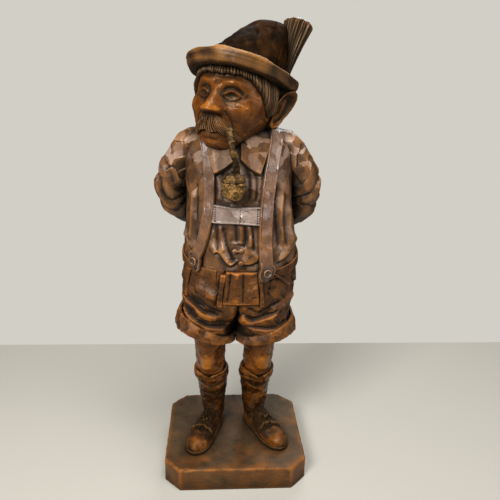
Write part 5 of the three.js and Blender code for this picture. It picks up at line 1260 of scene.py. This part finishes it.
hair = dict(cols=900, top=77, thick=2.8, strand=1.4, strands=44, low=[
    (0, 60), (30, 60.5), (48, 57), (60, 50), (70, 41), (80, 33), (88, 31), (96, 40), (112, 36), (135, 27),
    (160, 22), (180, 21)])  # the lower edge by degrees from the front


def hairGrid(h):
    # for each angle a closed section: up the outside in strands and down the inside
    angle = np.linspace(-np.pi, np.pi, h["cols"], endpoint=False)[:, None]
    low = readRows(h["low"], np.abs(np.degrees(angle)))[0]
    low = low - 0.6 * np.sin(11 * angle + 0.7) ** 2 + 0.3 * np.sin(47 * angle)
    t, outside = outAndBack(60, 18)
    z = low + (h["top"] - low) * t
    sway = 0.5 * np.sin(3 * t)
    comb = h["strand"] * np.abs(np.sin(h["strands"] * angle + sway + 0.9 * np.sin(9 * angle))) ** 0.7
    comb = comb + 0.4 * np.sin(21 * angle + 2 * t)
    thick = outside * (0.6 + (h["thick"] + comb) * softEdge(t * 24, 5)) - (1 - outside) * 0.8
    wear = 0.5 * (comb - 0.7) - 0.9 * (1 - ease(0.02, 0.16, t))
    return inHead(onForm(skull, angle + 0 * z, z, thick)), wear


makePiece("combed_hair", "hair", "hair", hairGrid(hair), ring=True)


# ears: a curled rim round a bowl, with a lobe

ear = dict(height=32, reach=11.5, lean=24, back=12, tip=0.4, lobe=2.2, rows=[  # each ring's width and reach
    (0, 0.45, 0), (0.3, 0.8, 0.55), (0.5, 0.98, 0.88), (0.6, 1.02, 1.0), (0.68, 0.96, 1.04), (0.76, 0.8, 0.9),
    (0.86, 0.66, 0.7), (1, 0.1, 0.62)])


def earGrid(e, sideSign, seed):
    # rings from the root out to the rim and back into the bowl
    lean, half = np.radians(e["lean"]), e["height"] / 2
    outward = unit(np.array([sideSign * np.cos(lean), -np.sin(lean), 0.12]))
    backward = np.array([sideSign * np.sin(lean), np.cos(lean), 0])
    root = np.array([sideSign * head["half"] * 0.86, e["back"], head["height"] * 0.42])
    share, a = alongAround(70, 120)
    scale, out = readRows(e["rows"], share)
    up = half * scale * np.sin(a)
    across = half * 0.6 * scale * np.cos(a) * (1 + 0.28 * np.sin(a))
    fold = 2.2 * ease(0.74, 0.82, share) * hump(across, 1.5, 2.2) * hump(up, 1, 8)
    out = e["reach"] * out * (1 + e["tip"] * up / half) + fold
    grid = root + outward * out[..., None] + backward * (across + out * 0.3 + 0.25 * up)[..., None]
    grid = grid + np.array([0, 0, 1.0]) * up[..., None]
    lobe = hump(np.sin(a), -1, 0.35) * hump(share, 0.5, 0.3)
    wear = 0.4 * hump(share, 0.6, 0.08) + 0.35 * ease(0.86, 0.95, share) + 0 * a
    if faceOut(grid) is not grid:
        grid, lobe, wear = (v[:, ::-1] for v in (grid, lobe, wear))
    return inHead(lift(grid, e["lobe"] * lobe + toolCuts(grid, 6, 0.35, seed, 0.04))), wear


for hand, sideSign, seed in (("right", -1, 95), ("left", 1, 96)):
    makePiece(hand + "_carved_ear", hand + "_ear", "skin", earGrid(ear, sideSign, seed))


# hat: a brim turned up all round, a leaning crown with a dent, and a brush in a knot

hat = dict(
    brimHalf=50, brimLong=56, brimTop=9.2, brimFloor=2.6, brimWork=(6, 0.12, 0.02, 0.45, 26), streaks=0.3,
    streakWaves=((9, 1), (14, -2), (19, 2), (25, -3), (31, 3)), brimRows=330, brimCols=77,
    crownSpan=(2.9, 62.2, 140, 300),  # from, to, rows and columns
    crownHalf=33.5, crownLong=41, crownFoot=2.8, crownHigh=55, crownWork=(9, 0.25, 0.03, 0.5, 20), pinch=2.5)
brimProfile = [(24, -2.5), (9, -2.7), (4.5, -2.6), (1.8, -1.2), (0.2, 2.5), (-0.8, 6), (-0.6, 8.4),
               (0.6, 9.4), (2.2, 9.2), (3.6, 7.4), (5.6, 4.6), (9, 2.8), (24, 2.6)]


def brimGrid(seed):
    # the turned-up edge's section carried round an oval
    profile = alongPath(brimProfile + brimProfile[:1], hat["brimCols"] + 1)[:-1]
    angle = roundTurn(hat["brimRows"])[:, None]
    swell = 1 - 0.28 * hump(angle - 2 * np.pi, -0.8, 0.8) - 0.5 * hump(angle, 1.35, 0.6)
    swell = swell + 0.05 * np.sin(3 * angle)
    (inset, z), floor = profile.T, hat["brimFloor"]
    z = np.where(z > floor, (z - floor) * swell + floor, z)
    x, y = (hat["brimHalf"] - inset) * np.sin(angle), -(hat["brimLong"] - inset) * np.cos(angle)
    grid = faceOut(np.stack([x, y, z], -1), True)
    run = roundTurn(len(inset))
    streaks = sum(np.sin(k * run + m * angle + k) for k, m in hat["streakWaves"]) / len(hat["streakWaves"])
    edge = hump(grid[..., 2], hat["brimTop"], 1.6) * patches(grid, 34, seed + 1, 0.5, 0.8)
    wear = 0.7 * edge - 0.22 * patches(grid, 30, seed + 2)
    return inHat(carve(grid, seed, hat["brimWork"], hat["streaks"] * streaks, ring=True)), wear


crown = dict(full=2.2, rows=[
    (2.8, 0, 0, 33.5, 41, 41), (19.3, 1, 4, 32, 37, 39), (33, 3, 9, 28, 28.5, 36), (48, 5, 15, 22.5, 18, 28),
    (58, 6.5, 19, 15, 10.5, 18.5), (62.3, 7, 20, 5, 3.6, 7)])
crownFolds = [
    ("groove", 5, 1.8, [(-36, 34), (-26, 32), (-17, 24), (-12, 12)]),
    ("ridge", 7, 2.2, [(-42, 22), (-32, 20), (-22, 12)]),
    ("groove", 4, 1.2, [(4, 44), (10, 34), (8, 24)]),
    ("ridge", 6, 1.2, [(14, 26), (18, 36), (22, 44)])]


def crownGrid(seed):
    # the crown's form, pinched on both sides of the front and creased along the top
    grid, angle, z = formGrid(crown, *hat["crownSpan"])
    turn, share = signed(angle), (z - hat["crownFoot"]) / hat["crownHigh"]
    sides = hump(turn, 0.9, 0.35) + 0.4 * hump(turn, -0.9, 0.35)
    pinch = -hat["pinch"] * np.sin(np.pi * np.clip(share, 0, 1)) * sides
    creases = drawFolds(np.degrees(turn) * 0.5, z, crownFolds)
    return inHat(carve(faceOut(grid), seed, hat["crownWork"], pinch + creases)), 0


brush = dict(angle=40, high=53, lean=2, knotHigh=12, stand=3.7, rows=120, cols=160,
             radii=[(0, 4.2), (0.15, 5.4), (0.5, 9.4), (0.85, 13.4), (0.95, 13.8), (1, 9.5)])
brushWay = np.array([np.cos(np.radians(brush["angle"])), np.sin(np.radians(brush["angle"])), 0])
knotFoot = np.array([(hat["crownHalf"] + brush["stand"]) * brushWay[0],
                     (hat["crownLong"] + brush["stand"]) * brushWay[1], hat["crownFoot"]])


def brushGrid(b):
    # a fan of strands: the section widens from the knot, grooved lengthwise, with a domed top
    foot = knotFoot + np.array([0, 0, b["knotHigh"] - 0.5])
    path = alongPath([foot, foot + 0.3 * b["lean"] * brushWay + [0, 0, b["high"] / 2],
                      foot + b["lean"] * brushWay + [0, 0, b["high"]]], b["rows"])
    u, a = alongAround(b["rows"], b["cols"])
    comb = 1 - 0.1 * np.abs(np.cos(7 * a + 0.9 * np.sin(2.5 * u))) ** 2 - 0.05 * np.cos(23 * a + 4 * u)
    outline = oval(readRows(b["radii"], u)[0] * comb, a, 1.0, 0.9)
    return inHat(sweep(path, np.array([0.3, 1.0, 0.1]), outline)), 0


knotProfile = [(0.4, -0.3), (2.6, 0), (3.6, 3), (4.0, 6), (3.4, 8.5), (4.2, 11), (3.6, 13.2), (0.4, 14.0)]
makePiece("turned_brim", "hat_brim", "brim", brimGrid(101), ring=True)
makePiece("dented_crown", "hat_crown", "hat", crownGrid(102))
makePiece("hair_brush", "hat_brush", "brush", brushGrid(brush))
makePiece("bound_knot", "brush_knot", "hat", (inHat(lathe(knotProfile, 50, 60) + knotFoot), 0))


# pipe: a knuckled stem from the mouth to a lidded bowl that hangs on the chest

pipe = dict(x=-8, bowlZ=300, bowlHigh=16.5, radius=9.8, stem=2.6, knuckles=4, stemRows=150,
            stemWork=(4, 0.5, 0.1, 0.5, 6), crustWear=0.38)
bowlBox = np.array([list(v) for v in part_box("pipe_bowl")]) / mm
bowlAt = np.array([pipe["x"], bowlBox[0][1] + pipe["radius"] * 1.02, pipe["bowlZ"]])
lidAt = bowlAt + np.array([0, 0, pipe["bowlHigh"] + 0.3])
bowlProfile = [(0.5, 0), (5, 0.8), (8.4, 4.6), (9.8, 9.8), (9.4, 13.2), (9.9, 14.4), (10.0, 16.0),
               (8.5, 16.6), (0.5, 16.6)]
lidProfile = [(0.5, 0.2), (9.4, 0.2), (9.8, 1.2), (9.2, 3.0), (7.0, 5.6), (4.4, 7.2), (2.2, 7.6), (2.6, 8.8),
              (1.6, 9.6), (0.4, 9.8)]


def stemGrid(p, seed):
    # a tube from the corner of the mouth down to the back of the bowl, swollen at its knuckles
    top = p["bowlZ"] + p["bowlHigh"]
    path = [inHead(np.array([13, -31, 17])), inHead(np.array([17.5, -41, 14.8])),
            np.array([-8.8, bowlAt[1] - 4, 342]), np.array([-5.6, bowlAt[1] + 1, top + 12]),
            np.array([p["x"] + 1.3, bowlAt[1] + 4.7, top - 5])]
    u, a = alongAround(p["stemRows"], 40)
    radius = p["stem"] + 0.7 * np.clip(np.cos(p["knuckles"] * 2 * np.pi * u), 0, 1) + 0.2 * np.sin(40 * u)
    grid = faceOut(sweep(alongPath(path, p["stemRows"]), np.array([1.0, 0.2, 0.0]), oval(radius, a)))
    return carve(grid, seed, p["stemWork"]), -0.35


def crusted(grid, cuts, crustHigh, dark):
    # a turned skin with knife facets and a crust of two sizes of speck, rubbed golden
    grid = faceOut(grid)
    crust = lumps(grid, 6.5, 114) + lumps(grid, 2.4, 115)
    return lift(grid, toolCuts(grid, *cuts) + crustHigh * crust), pipe["crustWear"] * crust - dark


bowl = crusted(lathe(bowlProfile, 90, 120) + bowlAt, (4.5, 0.45, 111, 0.05), 0.3, 0.15)
lid = crusted(lathe(lidProfile, 80, 110) + lidAt, (5, 0.3, 113, 0.04), 0.25, 0.25)
makePiece("stem_tube", "pipe_stem", "pipe", stemGrid(pipe, 112))
makePiece("bowl_cup", "pipe_bowl", "pipe", bowl)
makePiece("bowl_lid", "pipe_lid", "lid", lid)


# hands laid together behind the waist

hands = dict(wristX=25, wristY=51.5, wristZ=262, palm=21, thick=5, fingerLong=12, pitch=4.5, droop=5,
             seatY=40.8, palmRadii=[7.2, 8.6, 8.4], fingerRadii=[2.9, 2.8, 2.4], thumbRadii=[3.2, 3.1, 2.5])


def tube(path, radii, ref, rows, cols, flat=1.0):
    # round sections along a path, with soft closed ends
    u, a = alongAround(rows, cols)
    radius = spline(np.linspace(0, 1, len(radii)), radii, u) * softEdge(np.minimum(u, 1 - u) + 0.012, 0.16)
    return faceOut(sweep(alongPath(path, rows), ref, oval(radius, a, flat)))


def handGrids(h, sideSign, back, seed):
    # a flat palm from the wrist to the knuckles, four fingers side by side and a thumb over them
    wrist = np.array([sideSign * (h["wristX"] + 4), h["wristY"], h["wristZ"]])
    knuckles = np.array([sideSign * (h["wristX"] - h["palm"]), back, h["wristZ"] - h["droop"]])
    middle = (wrist + knuckles) / 2
    up = np.array([0, 0.1, 1.0])
    palm = tube([wrist, middle, knuckles - [sideSign * 3, 0, 0]], h["palmRadii"], up, 60, 70, 0.62)
    found = [lift(palm, toolCuts(palm, 6, 0.4, seed, 0.05))]
    for k in range(4):
        z = (k - 1.5) * h["pitch"]
        start = knuckles + np.array([sideSign * 4, 0, z])
        long = h["fingerLong"] - 1.5 * abs(k - 1.6)
        tip = knuckles + np.array([-sideSign * long, 0.6, z - h["droop"] / 2])
        found.append(tube([start, (start + tip) / 2 + [0, 0.8, 0], tip], h["fingerRadii"], up, 44, 28))
    thumb = [middle + [0, 0, 4], middle + [-sideSign * 7, 1.5, 8], middle + [-sideSign * 15, 1.5, 8.5]]
    found.append(tube(thumb, h["thumbRadii"], np.array([0, 1.0, 0.2]), 40, 28))
    return [(grid, 0) for grid in found]


innerBack = hands["seatY"] + hands["thick"] + 0.6
outerBack = innerBack + 2 * hands["thick"] + 0.3
for hand, sideSign, back, seed in (("left", 1, innerBack, 121), ("right", -1, outerBack, 122)):
    makePiece(hand + "_clasped_hand", hand + "_hand", "skin", *handGrids(hands, sideSign, back, seed))


# rods and dowels stay as packed, with steel and wood finishes

hidden = dict(scale=300.0, detail=4.0, ends=(0.35, 0.65), rough=0.42)


def hiddenFinish(name, tones, metal, stretch):
    # drawn steel or turned wood: fine lengthwise streaks between two tones
    finish, tree, shader = newFinish(name)
    place = addNode(tree, "TexCoord", {}).outputs["Object"]
    drawn = addNode(tree, "Mapping", dict(Vector=place, Scale=stretch)).outputs["Vector"]
    streaks = dict(Vector=drawn, Scale=hidden["scale"], Detail=hidden["detail"])
    ramp = addNode(tree, "ValToRGB", dict(Fac=addNode(tree, "TexNoise", streaks).outputs["Fac"]))
    for end, at, tone in zip(ramp.color_ramp.elements, hidden["ends"], tones):
        end.position, end.color = at, hexColour(tone)
    tree.links.new(ramp.outputs["Color"], shader.inputs["Base Color"])
    shader.inputs["Metallic"].default_value = metal
    shader.inputs["Roughness"].default_value = hidden["rough"]
    return finish


rodSteel = hiddenFinish("rod_steel", ("77787a", "a2a3a3"), 1.0, (1.0, 1.0, 0.08))
dowelWood = hiddenFinish("dowel_wood", ("a67a48", "c99f6c"), 0.0, (0.15, 1.0, 0.15))
for node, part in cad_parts.items():
    if not part.hide_render:
        part.data.materials.clear()
        part.data.materials.append(rodSteel if node.endswith("_leg_rod") else dowelWood)
        print("kept", node)


# floor, light and camera

stage = dict(backEdge=245, side=1500, front=1800, floorColour="aaa69b", floorRough=0.7, wallColour="d2cfc6",
             roomColour=(0.95, 0.97, 1.0, 1), roomLight=0.06)
floorMesh = bpy.data.meshes.new("pale_floor")
w, f, b = stage["side"] * mm, stage["front"] * mm, stage["backEdge"] * mm
floorMesh.from_pydata([(-w, -f, 0), (w, -f, 0), (w, b, 0), (-w, b, 0)], [], [(0, 1, 2, 3)])
floor = addObject("pale_floor", floorMesh)
floorPaint, _, floorShader = newFinish("floor_paint")
floorShader.inputs["Base Color"].default_value = hexColour(stage["floorColour"])
floorShader.inputs["Roughness"].default_value = stage["floorRough"]
floorMesh.materials.append(floorPaint)

world = bpy.data.worlds.new("pale_room")
bpy.context.scene.world = world
world.use_nodes = True
tree = world.node_tree
room = tree.nodes["Background"]
room.inputs["Color"].default_value = stage["roomColour"]
room.inputs["Strength"].default_value = stage["roomLight"]
wall = addNode(tree, "Background", dict(Color=hexColour(stage["wallColour"]), Strength=1.0))
seen = addNode(tree, "LightPath", {}).outputs["Is Camera Ray"]  # the pale wall is only looked at
mixer = addNode(tree, "MixShader", {0: seen, 1: room.outputs[0], 2: wall.outputs[0]})
tree.links.new(mixer.outputs[0], tree.nodes["World Output"].inputs["Surface"])


def standAt(thing, side, up, back, place):
    # an object's three axes and its place become the columns of its matrix
    matrix = np.eye(4)
    matrix[:3] = np.stack([side, up, back, np.array(place) * mm], -1)
    thing.matrix_world = Matrix(matrix.tolist())


def softLamp(name, place, size, power, aim=(0, 0, 250)):
    # a square soft box at a place, facing the aim
    data = bpy.data.lights.new(name, "AREA")
    data.shape, data.size, data.energy = "SQUARE", size * mm, power
    back = unit(np.array(place, float) - np.array(aim, float))
    side = unit(np.cross([0, 0, 1.0], back))
    standAt(addObject(name, data), side, np.cross(back, side), back, place)


softLamp("key_box", (-500, -800, 900), 420, 19.0)
softLamp("top_box", (150, -350, 1300), 500, 11.0)
softLamp("fill_box", (900, -500, 600), 500, 3.5)
softLamp("back_box", (300, 900, 900), 600, 5.0)

view = dict(place=(-24.2, -494.3, 400.4), way=(0.06906, 0.94758, -0.31197), roll=1.70, lens=37.44,
            sensor=36.0, near=0.01, far=20.0)
cameraData = bpy.data.cameras.new("view_camera")
cameraData.lens, cameraData.sensor_width = view["lens"], view["sensor"]
cameraData.clip_start, cameraData.clip_end = view["near"], view["far"]
camera = addObject("view_camera", cameraData)
way, roll = unit(np.array(view["way"])), np.radians(view["roll"])
level = unit(np.cross(way, [0, 0, 1.0]))
above = np.cross(level, way)
rightWay = level * np.cos(roll) + above * np.sin(roll)
upWay = above * np.cos(roll) - level * np.sin(roll)
standAt(camera, rightWay, upWay, -way, view["place"])
bpy.context.scene.camera = camera
bpy.context.scene.view_settings.view_transform = "Standard"
print("stage, lamps and camera set")
